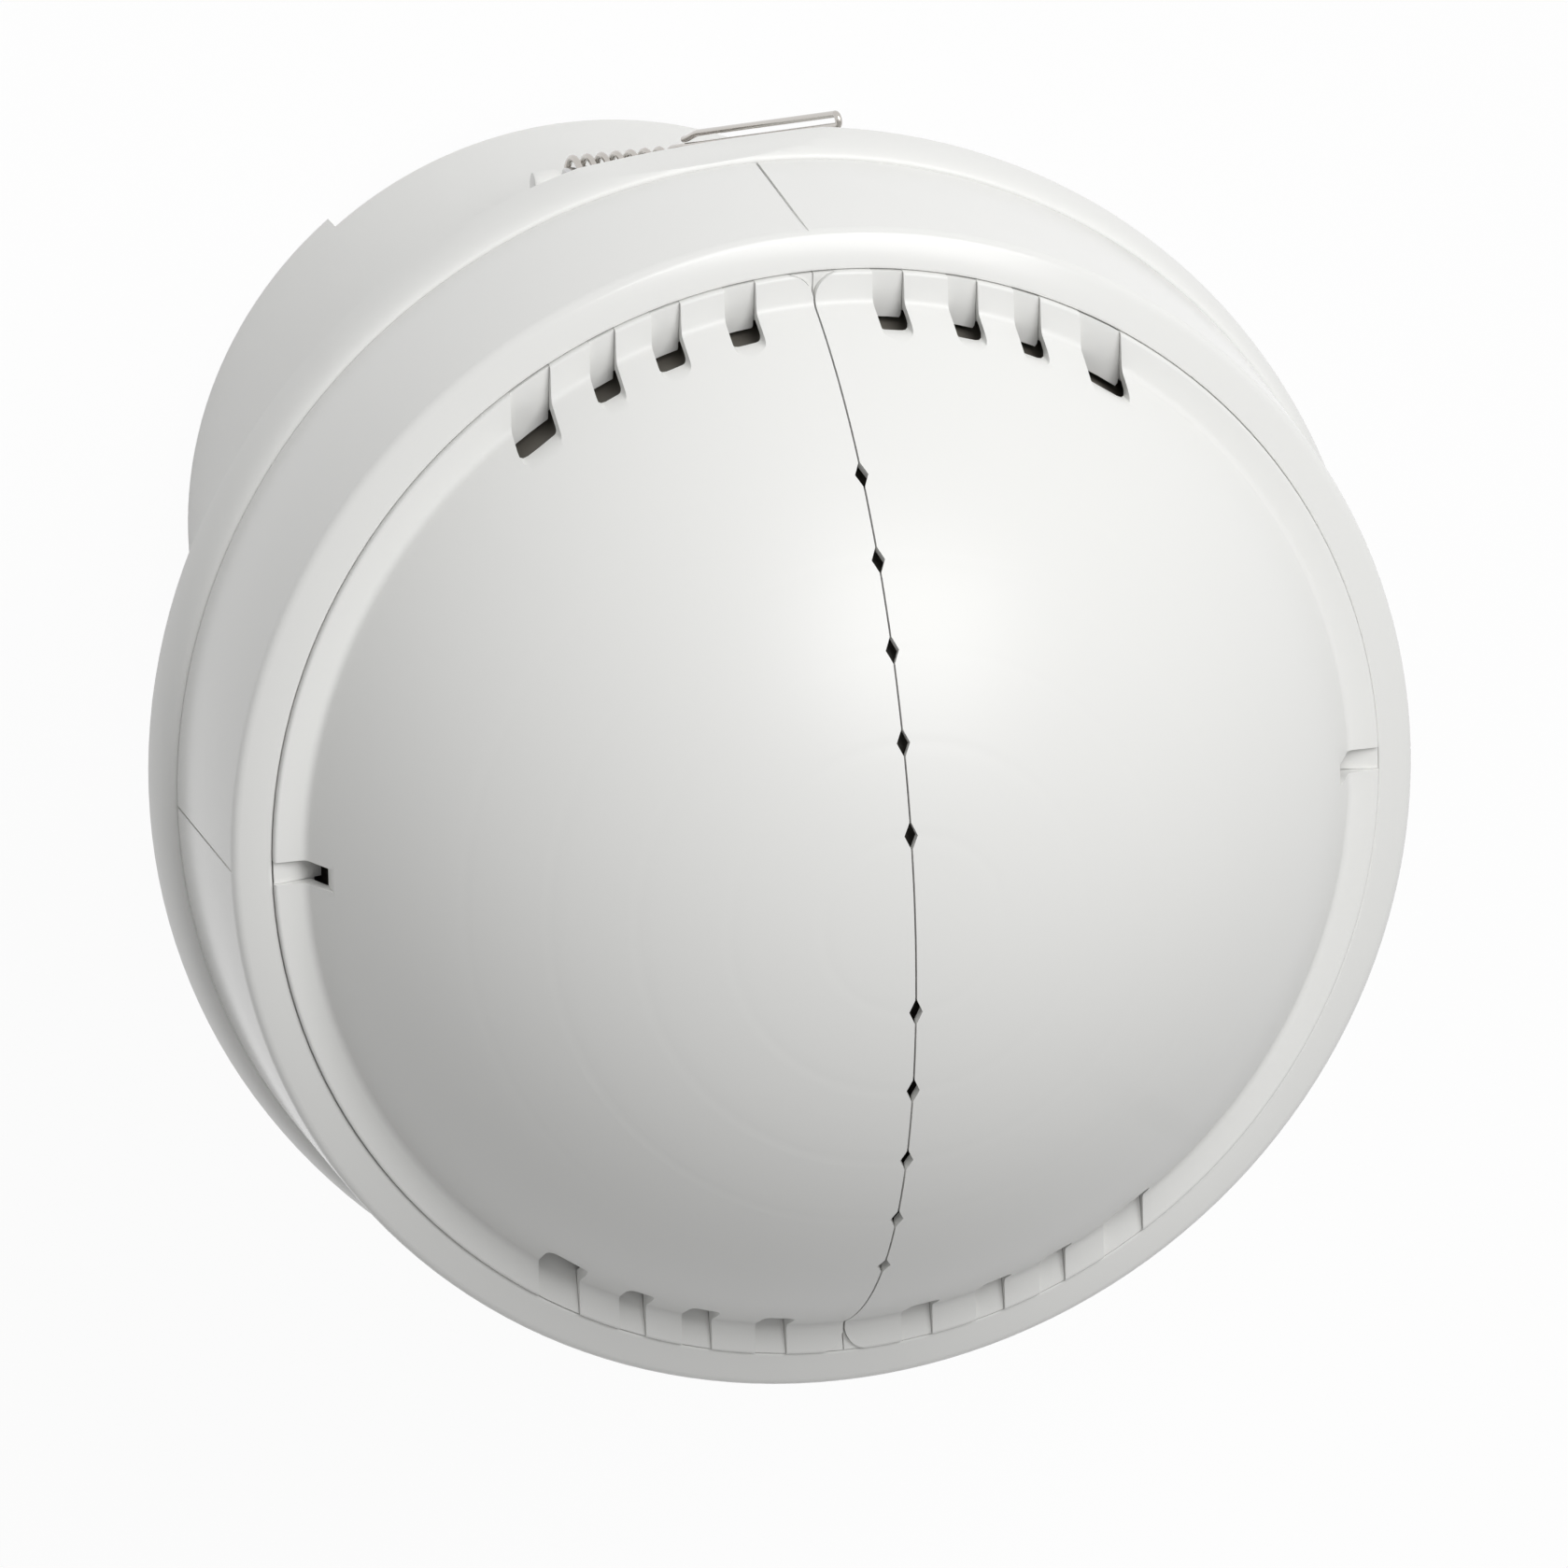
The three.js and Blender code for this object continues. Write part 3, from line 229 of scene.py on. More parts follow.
class ClipSizes(bpy.types.PropertyGroup):
    """Sizes of the two wire clips."""

    wire_radius: length("Wire radius", "Radius of the spring wire", 0.3)
    coil_radius: length("Coil radius", "Mean radius of the winding", 2)
    pitch: length("Pitch", "Advance of the winding in one turn", 1.27)
    start: length("Start", "Place of the winding's first turn along the pin", -6.02)
    arm_side: length("Arm side", "How far the arm's tip lies to the side of its foot", 5.9)
    loop_gap: length("Loop gap", "Clear width of the arm's loop", 0.4)
    loop_short: length("Loop end", "Distance of the loop's closed end from the winding", 3)
    loop_taper: length("Loop taper", "Length over which the loop closes", 4)
    barrel_radius: length("Pin radius", "Radius of the clip's pin inside the winding", 1.22)
    journal_radius: length("Pin end radius", "Radius of the pin's ends in the lugs", 0.45)


class InnerSizes(bpy.types.PropertyGroup):
    """Sizes of the screws and the parts on the boards and the rear cover."""

    head_height: length("Head height", "Height of a screw's head", 1.3)
    head_dome: length("Head dome", "Rounding of a screw's head", 0.9)
    shank: length("Shank", "Radius of a screw's thread", 1.25)
    thread_core: length("Thread core", "Radius at the bottom of the thread", 1)
    thread_pitch: length("Thread pitch", "Distance between the thread's crests", 0.8)
    thread_start: length("Thread start", "Distance of the first crest from the head", 0.1)
    thread_crest: length("Thread crest", "Width of a crest of the thread", 0.2)
    recess_width: length("Recess width", "Width of the arms of the cross recess", 0.55)
    recess_reach: length("Recess reach", "Length of the arms of the cross recess", 1.35)
    recess_depth: length("Recess depth", "Depth of the cross recess", 0.9)
    slot_width: length("Screw slot width", "Width of a terminal screw's slot", 0.6)
    slot_depth: length("Screw slot depth", "Depth of a terminal screw's slot", 0.7)
    dial_height: length("Dial height", "Height of a setting dial's knob", 4.5)
    dial_shaft: length("Dial shaft", "Radius of a setting dial's shaft", 1.5)
    dial_slot: length("Dial slot", "Width of a setting dial's slot", 1.2)
    dial_slot_depth: length("Dial slot depth", "Depth of a setting dial's slot", 1)
    knurl: length("Knurl", "Radius of the grooves round a dial", 0.28)
    edge: length("Edge rounding", "Rounding of the edges of the inner parts", 0.18)
    can_flange: length("Can flange", "Thickness of a sensor can's flange", 0.6)
    can_radius: length("Can radius", "Radius of a sensor can's barrel", 4)
    can_window: length("Can window", "Radius of a sensor can's window", 2.6)
    can_sink: length("Can sink", "Depth of a sensor can's window", 0.4)
    crimp: length("Crimp", "Depth of the groove round a capacitor", 0.35)


class FinishColours(bpy.types.PropertyGroup):
    """Colours of the detector's finishes."""

    housing: colour("Housing", "White plastic of the drum and the flange", 0.83, 0.83, 0.805)
    bezel: colour("Bezel", "Glossier white plastic of the bezel", 0.81, 0.81, 0.79)
    cover: colour("Dome", "Satin white plastic of the masking dome", 0.86, 0.86, 0.84)
    # The lens's dark smoked colour is partly painted shade: it stands in for the shade inside the dome seen
    # through the rim's slots.
    lens: colour("Lens", "Smoked plastic of the lens", 0.095, 0.085, 0.07)
    # The wire's dark brown colour is partly tarnish and partly painted reflection: it is darkened to stand in for
    # the dark surroundings that bright nickelled wire mirrors.
    wire: colour("Wire", "Nickelled spring wire", 0.115, 0.095, 0.085)
    steel: colour("Steel", "Zinc-plated screws and pins", 0.58, 0.58, 0.585)
    board: colour("Board", "Green circuit board", 0.03, 0.13, 0.06)
    copper: colour("Copper", "Enamelled winding wire", 0.42, 0.16, 0.055)
    black: colour("Black", "Black moulded parts", 0.022, 0.022, 0.024)
    terminal: colour("Terminal", "Green terminal block", 0.04, 0.22, 0.09)
    dial: colour("Dial", "Grey setting dials", 0.3, 0.31, 0.3)
    glass: colour("Glass", "Glass of the fuse", 0.6, 0.61, 0.58)
    lamp: colour("Lamp", "Clear light sensor", 0.7, 0.72, 0.68)
    red_lamp: colour("Red lamp", "Red indicator lamp", 0.5, 0.03, 0.02)
    floor: colour("Floor", "Pale floor", 0.9, 0.9, 0.9)


# Places and widths of a quarter's rim slots, as shares of the rim's radius
SLOT_PLACE_SHARES = (0.133, 0.267, 0.382, 0.513)
SLOT_WIDTH_SHARES = (0.057, 0.054, 0.048, 0.073)

# Angles on the dome, the drum's rear edge and the flange
DIAMOND_STEP = math.radians(9.1)
RECESS_HALF_ANGLE = math.radians(38)
RELIEF_TURN = math.radians(4)

# Turns up to the arm's own turn, the share of a turn left open before it, and the arm's course
COIL_TURNS = 6
COIL_BREAK = 0.53
ARM_EXIT = math.radians(340)
LOOP_TILT = math.radians(-6)
TIP_INSET = 1.2 * MM
TIP_SETBACK = 0.9 * MM
LEG_GAP = 0.15 * MM
LOOP_CLEARANCE = 0.03 * MM
FOOT_SHARES = (0.02, 0.05, 0.3, 0.6)
CLOSING_SHARES = (0, 0.15, 0.3, 0.45, 0.6, 0.75, 0.9, 1)

# Counts
DIAMOND_COUNT = 5
KNURL_COUNT = 24
KNURL_STEPS = 10
TERMINAL_COUNT = 4
SCREWS = (
    # kind, count, whether the head is on the upper side
    ("rear_cover_screw", 4, False),
    ("cable_clamp_screw", 2, False),
    ("bezel_screw", 4, False),
    ("drum_screw", 4, True),
    ("sensor_board_screw", 3, True),
)

# Overrun of cuts, rise of the rim's cutters over it, clearance between pieces, and the weld distance
CUT_OVER = 1 * MM
OPENING_RISE = 6 * MM
FIT_GAP = 0.3 * MM
WELD = 0.001 * MM

# Rounding of edges that have no size of their own
FINE_EDGE = 0.1 * MM
SMALL_EDGE = 0.15 * MM
SOFT_EDGE = 0.3 * MM
ROUND_EDGE = 0.6 * MM


# Mesh tools

def outward(bm):
    """Merges a closed bmesh's doubled vertices and turns its faces outward."""
    bmesh.ops.remove_doubles(bm, verts=bm.verts, dist=WELD)
    bmesh.ops.recalc_face_normals(bm, faces=bm.faces)
    if bm.calc_volume(signed=True) < 0:
        bmesh.ops.reverse_faces(bm, faces=bm.faces)
    return bm


def keep(name, bm):
    """A new object at the origin from a bmesh."""
    mesh = bpy.data.meshes.new(name)
    bm.normal_update()
    bm.to_mesh(mesh)
    bm.free()
    made = bpy.data.objects.new(name, mesh)
    bpy.context.scene.collection.objects.link(made)
    return made


def copied(mesh):
    """A bmesh of a mesh."""
    bm = bmesh.new()
    bm.from_mesh(mesh)
    return bm


def rounded(corners):
    """Points of an outline from (x, y, radius) corners, each corner rounded by its own radius."""
    points = []
    count = len(corners)
    for index, (x, y, radius) in enumerate(corners):
        here = Vector((x, y))
        if not radius:
            points.append(here)
            continue
        before = Vector(corners[index - 1][:2]) - here
        after = Vector(corners[(index + 1) % count][:2]) - here
        half_angle = before.angle(after) / 2
        reach = min(radius / math.tan(half_angle), before.length / 2, after.length / 2)
        start = here + before.normalized() * reach
        end = here + after.normalized() * reach
        for step in range(CORNER_STEPS + 1):
            share = step / CORNER_STEPS
            points.append(start.lerp(here, share).lerp(here.lerp(end, share), share))
    return points


def arc(centre, radii, first, last, step):
    """Sharp-cornered (x, y, 0) points of an arc from one angle to another."""
    count = max(2, round(abs(last - first) / step))
    return [
        (centre[0] + radii[0] * math.cos(first + (last - first) * k / count),
         centre[1] + radii[1] * math.sin(first + (last - first) * k / count), 0)
        for k in range(count + 1)
    ]


def spun(section, steps=ROUND_STEPS):
    """A bmesh turned about Z from the (radius, height) points of a closed section."""
    bm = bmesh.new()
    verts = [bm.verts.new((radius, 0, height)) for radius, height in section]
    edges = [bm.edges.new(pair) for pair in zip(verts, verts[1:] + verts[:1])]
    on_axis = [edge for edge in edges if all(abs(vert.co.x) < WELD for vert in edge.verts)]
    bmesh.ops.delete(bm, geom=on_axis, context="EDGES")
    bmesh.ops.spin(bm, geom=bm.verts[:] + bm.edges[:], cent=(0, 0, 0), axis=(0, 0, 1),
                   angle=FULL_TURN, steps=steps, use_merge=True)
    return outward(bm)


def rod(radius, low, high, place=(0, 0), steps=SMALL_STEPS):
    """A bmesh of a round bar parallel to Z."""
    bm = bmesh.new()
    move = Matrix.Translation((place[0], place[1], (low + high) / 2))
    bmesh.ops.create_cone(bm, cap_ends=True, segments=steps, radius1=radius, radius2=radius,
                          depth=high - low, matrix=move)
    return bm


def block(low, high):
    """A bmesh of a box between two corners."""
    bm = bmesh.new()
    low, high = Vector(low), Vector(high)
    size = Matrix.Diagonal((*(high - low), 1))
    bmesh.ops.create_cube(bm, size=1, matrix=Matrix.Translation((low + high) / 2) @ size)
    return bm


def prism(outline, low, high):
    """A bmesh of an upright prism on (x, y) points."""
    bm = bmesh.new()
    face = bm.faces.new([bm.verts.new((x, y, low)) for x, y in outline])
    raised = bmesh.ops.extrude_face_region(bm, geom=[face])
    lifted = [item for item in raised["geom"] if isinstance(item, bmesh.types.BMVert)]
    bmesh.ops.translate(bm, vec=(0, 0, high - low), verts=lifted)
    return outward(bm)


def moved(bm, matrix):
    """The same bmesh after a move, a turn or a mirror."""
    bmesh.ops.transform(bm, matrix=matrix, verts=bm.verts)
    return outward(bm)


def eased(bm, width):
    """The same bmesh with its sharp edges rounded."""
    edges = [edge for edge in bm.edges if edge.is_manifold and edge.calc_face_angle() > SHARP_ANGLE]
    bmesh.ops.bevel(bm, geom=edges, offset=width, segments=2, profile=0.5, affect="EDGES", clamp_overlap=True,
                    material=-1)
    return outward(bm)


def gathered(*parts):
    """One bmesh of several that don't touch."""
    whole = bmesh.new()
    for part in parts:
        mesh = bpy.data.meshes.new("part")
        part.to_mesh(mesh)
        part.free()
        whole.from_mesh(mesh)
        bpy.data.meshes.remove(mesh)
    return whole


def settle(piece):
    """Turns a piece's modifiers into its mesh."""
    graph = bpy.context.evaluated_depsgraph_get()
    mesh = bpy.data.meshes.new_from_object(piece.evaluated_get(graph))
    piece.modifiers.clear()
    old = piece.data
    piece.data = mesh
    bpy.data.meshes.remove(old)


def carve(piece, bm, operation="DIFFERENCE"):
    """Cuts a bmesh out of a piece, or joins it on."""
    tool = keep("tool", bm)
    modifier = piece.modifiers.new("carve", "BOOLEAN")
    modifier.operation = operation
    modifier.solver = "EXACT"
    modifier.object = tool
    settle(piece)
    bpy.data.objects.remove(tool)


def around(count, circle, first):
    """Places spaced evenly on a circle about Z."""
    angles = [first + FULL_TURN * k / count for k in range(count)]
    return [(circle * math.cos(angle), circle * math.sin(angle)) for angle in angles]


def corners(circle):
    """Four places on a circle, between the X and Y axes."""
    return around(4, circle, QUARTER / 2)


def middle_of(node):
    """The middle of a node's box."""
    low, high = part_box(node)
    return (low + high) / 2


def on_quarters(bm, turn=0):
    """Four copies of a bmesh, a quarter turn apart."""
    copies = [moved(bm.copy(), Matrix.Rotation(QUARTER * place + turn, 4, "Z")) for place in range(4)]
    bm.free()
    return copies


def on_both_sides(bm, turn=0):
    """Two copies of a bmesh, half a turn apart."""
    copies = [moved(bm.copy(), Matrix.Rotation(half + turn, 4, "Z")) for half in (0, math.pi)]
    bm.free()
    return copies


def dress(piece, body, slot, *nodes):
    """Gives a piece the finish of its slot, its body and the nodes that it stands for."""
    piece.data.materials.clear()
    piece.data.materials.append(finishes()[slot])
    piece.data.shade_smooth()
    piece.data.set_sharp_from_angle(angle=SHARP_ANGLE)
    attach(piece, body)
    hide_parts(*nodes)


# Finishes

class Value:
    """A shader socket that adds Math nodes when it is used in sums."""

    def __init__(self, finish, socket):
        self.finish = finish
        self.socket = socket

    def maths(self, operation, first, second):
        """The result of a Math node on two values."""
        return self.finish.node("Math", {"operation": operation}, {0: first, 1: second})

    def __add__(self, other):
        return self.maths("ADD", self, other)

    def __sub__(self, other):
        return self.maths("SUBTRACT", self, other)

    def __rsub__(self, other):
        return self.maths("SUBTRACT", other, self)

    def __mul__(self, other):
        return self.maths("MULTIPLY", self, other)

    __radd__ = __add__
    __rmul__ = __mul__


class Finish:
    """A procedural material on object coordinates."""

    def __init__(self, name):
        self.material = bpy.data.materials.new(name)
        self.material.use_nodes = True
        self.tree = self.material.node_tree
        self.shader = self.tree.nodes["Principled BSDF"]
        self.place = self.node("TexCoord", output="Object")

    def node(self, kind, settings=None, inputs=None, output=0):
        """A new node with its settings, its sockets fed, and one of its outputs."""
        made = self.tree.nodes.new("ShaderNode" + kind)
        for key, value in (settings or {}).items():
            if key == "stops":
                self.set_stops(made.color_ramp, value)
            else:
                setattr(made, key, value)
        for key, value in (inputs or {}).items():
            self.feed(made.inputs[key], value)
        return Value(self, made.outputs[output])

    def set_stops(self, ramp, stops):
        """Places a ramp's stops."""
        while len(ramp.elements) < len(stops):
            ramp.elements.new(1)
        for element, (place, shade) in zip(ramp.elements, stops):
            element.position = place
            element.color = shade

    def feed(self, socket, value):
        """Links a socket to a value, or sets its number or colour."""
        if isinstance(value, Value):
            self.tree.links.new(value.socket, socket)
        else:
            socket.default_value = value

    def surface(self, inputs):
        """Feeds the main shader."""
        for key, value in inputs.items():
            self.feed(self.shader.inputs[key], value)

    def pattern(self, kind, scale, settings=None, inputs=None, output=0):
        """A texture on object coordinates, its features 1 / scale of a metre across."""
        return self.node(kind, settings, {"Vector": self.place, "Scale": scale, **(inputs or {})}, output)

    def noise(self, scale, detail=2, roughness=0.5, vector=None):
        """Noise from 0 to 1, on object coordinates or on a vector of its own."""
        return self.pattern("TexNoise", scale, {}, {"Vector": vector or self.place, "Detail": detail,
                                                    "Roughness": roughness})

    def stretched(self, x, y, z):
        """Object coordinates scaled by axis."""
        return self.node("Mapping", {}, {"Vector": self.place, "Scale": (x, y, z)})

    def blend(self, share, first, second):
        """A mix of two colours."""
        return self.node("Mix", {"data_type": "RGBA"}, {0: share, 6: first, 7: second}, output=2)

    def relief(self, height, strength, distance):
        """A bumped normal."""
        return self.node("Bump", {}, {"Height": height, "Strength": strength, "Distance": distance})


def shade(base, factor):
    """A colour made lighter or darker."""
    return (*(min(1, channel * factor) for channel in base[:3]), 1)


def moulded(name, base, roughness, grain=0.5, mottle=0.02):
    """Moulded plastic: a faint mottle, a fine spark-eroded grain and softly varying gloss."""
    finish = Finish(name)
    cloud = finish.noise(MOTTLE_SCALE, 3, 0.6)
    grit = finish.noise(GRIT_SCALE, 2, 0.5)
    flow = finish.noise(FLOW_SCALE, 2, 0.5, finish.stretched(1, 1, 0.25))
    specks = finish.node("MapRange", {}, {"Value": finish.noise(SPECK_SCALE, 2, 0.4), 1: 0.71, 2: 0.75})
    tone = finish.blend(cloud, shade(base, 1 - mottle), shade(base, 1 + mottle))
    finish.surface({
        "Base Color": finish.blend(specks * 0.25, tone, shade(base, 0.86)),
        "Roughness": roughness + (flow - 0.5) * 0.12 + (grit - 0.5) * 0.08,
        "Normal": finish.relief(grit * 0.6 + flow * 0.4, 0.25 * grain, GRAIN_DEPTH),
    })
    return finish.material


def smoked(name, base):
    """Smoked lens plastic with moulded facets on its inner side; its dark base colour is partly painted shade,
    standing in for the shade inside the dome seen through the rim's slots.
    """
    finish = Finish(name)
    cells = finish.pattern("TexVoronoi", FACET_SCALE, {"feature": "SMOOTH_F1"})
    cloud = finish.noise(LENS_SCALE, 2, 0.5)
    finish.surface({
        "Base Color": finish.blend(cloud, shade(base, 0.8), shade(base, 1.3)),
        "Roughness": 0.22 + cloud * 0.12,
        "Normal": finish.relief(cells, 0.35, FACET_DEPTH),
    })
    return finish.material


def drawn_wire(name, base):
    """Nickelled wire with draw marks and brownish tarnish; its dark base colour is partly painted reflection,
    standing in for the dark surroundings that a bright wire mirrors.
    """
    finish = Finish(name)
    tarnish = finish.noise(TARNISH_SCALE, 4, 0.65)
    marks = finish.noise(DRAW_SCALE, 2, 0.5, finish.stretched(1, 0.15, 0.15))
    finish.surface({
        "Base Color": finish.blend(tarnish, shade(base, 0.75), shade(base, 1.25)),
        "Metallic": 1.0,
        "Roughness": 0.2 + tarnish * 0.14 + marks * 0.06,
        "Normal": finish.relief(marks, 0.15, SCRATCH_DEPTH),
    })
    return finish.material


def plated(name, base, roughness):
    """Zinc-plated steel with a fine turned grain and dull patches."""
    finish = Finish(name)
    patches = finish.noise(PATCH_SCALE, 4, 0.6)
    scratches = finish.noise(SCRATCH_SCALE, 2, 0.5, finish.stretched(0.2, 1, 1))
    finish.surface({
        "Base Color": finish.blend(patches, shade(base, 0.8), shade(base, 1.15)),
        "Metallic": 1.0,
        "Roughness": roughness + patches * 0.15 + scratches * 0.08,
        "Normal": finish.relief(scratches, 0.2, SCRATCH_DEPTH),
    })
    return finish.material


def laminate(name, base):
    """Circuit board: lacquered laminate with a faint glass weave and paler copper tracks below it."""
    finish = Finish(name)
    across, along = (finish.pattern("TexWave", WEAVE_SCALE, {"bands_direction": way}) for way in "XZ")
    tracks = finish.pattern("TexBrick", TRACK_SCALE, {}, {"Mortar Size": 0.06}, output="Fac")
    weave = across * along
    tone = finish.blend(weave, shade(base, 0.9), shade(base, 1.15))
    finish.surface({
        "Base Color": finish.blend(tracks, tone, shade(base, 1.8)),
        "Roughness": 0.32 + weave * 0.1,
        "Normal": finish.relief(weave * 0.3 + tracks * 0.7, 0.3, WEAVE_DEPTH),
    })
    return finish.material


def wound(name, base):
    """Enamelled copper wire laid side by side."""
    finish = Finish(name)
    turns = finish.pattern("TexWave", WINDING_SCALE, {"bands_direction": "Z", "wave_profile": "SIN"},
                           {"Distortion": 0.4})
    cloud = finish.noise(ENAMEL_SCALE, 3, 0.6)
    finish.surface({
        "Base Color": finish.blend(turns * 0.7 + cloud * 0.3, shade(base, 0.55), shade(base, 1.2)),
        "Metallic": 0.6,
        "Roughness": 0.3 + cloud * 0.15,
        "Normal": finish.relief(turns, 0.8, WINDING_DEPTH),
    })
    return finish.material


def clear_plastic(name, base):
    """Glossy lamp or glass body with a milky core."""
    finish = Finish(name)
    cloud = finish.noise(MILK_SCALE, 2, 0.5)
    finish.surface({
        "Base Color": finish.blend(cloud, shade(base, 0.85), shade(base, 1.1)),
        "Roughness": 0.12 + cloud * 0.08,
        "Normal": finish.relief(cloud, 0.1, GRAIN_DEPTH),
    })
    return finish.material


def finishes():
    """Every finish of the detector by its slot, made once."""
    tint = bpy.context.scene.detector_colours
    rows = (
        ("housing_white", moulded, tint.housing, {"roughness": 0.36}),
        ("bezel_white", moulded, tint.bezel, {"roughness": 0.33, "grain": 0.3}),
        ("cover_white", moulded, tint.cover, {"roughness": 0.42, "grain": 0.6}),
        # The lens finish is smoked plastic whose dark colour is partly painted shade.
        ("smoked_lens", smoked, tint.lens, {}),
        ("screw_steel", plated, tint.steel, {"roughness": 0.3}),
        ("pin_steel", plated, tint.steel, {"roughness": 0.2}),
        ("sensor_metal", plated, tint.steel, {"roughness": 0.25}),
        ("core_iron", plated, shade(tint.steel, 0.55), {"roughness": 0.4}),
        ("board_green", laminate, tint.board, {}),
        ("terminal_green", moulded, tint.terminal, {"roughness": 0.42, "grain": 1, "mottle": 0.05}),
        ("winding_copper", wound, tint.copper, {}),
        ("black_plastic", moulded, tint.black, {"roughness": 0.45, "grain": 1, "mottle": 0.1}),
        ("capacitor_sleeve", moulded, shade(tint.black, 1.6), {"roughness": 0.28, "grain": 0.3,
                                                               "mottle": 0.08}),
        ("fuse_glass", clear_plastic, tint.glass, {}),
        ("dial_grey", moulded, tint.dial, {"roughness": 0.4, "grain": 1, "mottle": 0.05}),
        ("lamp_clear", clear_plastic, tint.lamp, {}),
        ("lamp_red", clear_plastic, tint.red_lamp, {}),
        ("spring_wire", drawn_wire, tint.wire, {}),
    )
    return {slot: bpy.data.materials.get(slot) or make(slot, base, **settings)
            for slot, make, base, settings in rows}


# Shapes of the pieces

def drum_body():
    """Drum with its rear ledge, screw posts, board rails, lugs and rear recesses."""
    size = bpy.context.scene.drum_sizes
    outer, depth = DRUM_HIGH.x, DRUM_HIGH.z
    inner = outer - size.wall
    ledge_rear = REAR_HIGH.z + FIT_GAP
    ledge_front = ledge_rear + size.ledge_thick
    ledge_inner = inner - size.ledge_width
    fine = size.rear_round / 3
    section = rounded([
        (inner, 0, fine), (outer, 0, size.rear_round), (outer, depth, fine), (inner, depth, fine),
        (inner, ledge_front, 0), (ledge_inner, ledge_front, fine), (ledge_inner, ledge_rear, fine),
        (inner, ledge_rear, 0),
    ])
    drum = keep("drum_body", spun(section))
    posts = corners(size.post_circle)
    post_rods = [rod(size.post_radius, ledge_rear, depth, place, POST_STEPS) for place in posts]
    carve(drum, gathered(*post_rods), "UNION")
    rails = []
    for side in (-1, 1):
        edges = sorted((side * (inner - size.rail_depth), side * inner))
        rails.append(block((edges[0], BOARD_LOW.y - FIT_GAP - size.rail_wall, ledge_rear),
                           (edges[1], BOARD_HIGH.y + FIT_GAP + size.rail_wall, depth)))
    carve(drum, gathered(*rails), "UNION")
    carve(drum, gathered(*(lug(side, turn) for side in (-1, 1) for turn in (0, math.pi))), "UNION")
    slot_end = inner - size.rail_floor
    carve(drum, block((-slot_end, BOARD_LOW.y - FIT_GAP, ledge_front),
                      (slot_end, BOARD_HIGH.y + FIT_GAP, depth + CUT_OVER)))
    bores = [rod(size.bore_radius, *span, place) for place in posts for span in (
        (ledge_rear - CUT_OVER, ledge_rear + size.bore_depth), (depth - size.bore_depth, depth + CUT_OVER))]
    pin_bore = bpy.context.scene.clip_sizes.journal_radius + FIT_GAP
    pin_bores = [cross_rod(pin_bore, side * (size.lug_inner - CUT_OVER),
                           side * (size.lug_inner + size.lug_thick - size.lug_skin), turn)
                 for side in (-1, 1) for turn in (0, math.pi)]
    recesses = on_both_sides(prism(recess_plan(), -CUT_OVER, size.recess_depth))
    carve(drum, gathered(*bores, *pin_bores, *recesses))
    return drum


def lug(side, turn):
    """One clip lug: a plate from the drum's wall to a round end on the clip's axis."""
    size = bpy.context.scene.drum_sizes
    near, far = sorted((side * size.lug_inner, side * (size.lug_inner + size.lug_thick)))
    foot, radius = DRUM_HIGH.x - size.wall, size.lug_radius
    end = arc(CLIP_AXIS.yz, (radius, radius), -QUARTER, QUARTER, LUG_STEP)
    outline = [(foot, CLIP_AXIS.z - radius), *((y, z) for y, z, _ in end), (foot, CLIP_AXIS.z + radius)]
    plate = eased(prism(outline, near, far), radius / 3)
    upright = Matrix(((0, 0, 1, 0), (1, 0, 0, 0), (0, 1, 0, 0), (0, 0, 0, 1)))
    return moved(plate, Matrix.Rotation(turn, 4, "Z") @ upright)


def at_clip(turn):
    """Places a piece made about X at a clip, which lies a turn about Z from the top one."""
    return Matrix.Rotation(turn, 4, "Z") @ Matrix.Translation(CLIP_AXIS)


def cross_rod(radius, first, last, turn):
    """A bmesh of a round bar on a clip's axis."""
    bar = rod(radius, min(first, last), max(first, last), (0, 0), POST_STEPS)
    return moved(bar, at_clip(turn) @ Matrix.Rotation(QUARTER, 4, "Y"))


def recess_plan():
    """Plan corners of the shallow recess in the rear edge on the +Y side."""
    reach = DRUM_HIGH.x + CUT_OVER
    sideways, outward = reach * math.sin(RECESS_HALF_ANGLE), reach * math.cos(RECESS_HALF_ANGLE)
    return [(0, 0), (sideways, outward), (sideways, reach), (-sideways, reach), (-sideways, outward)]


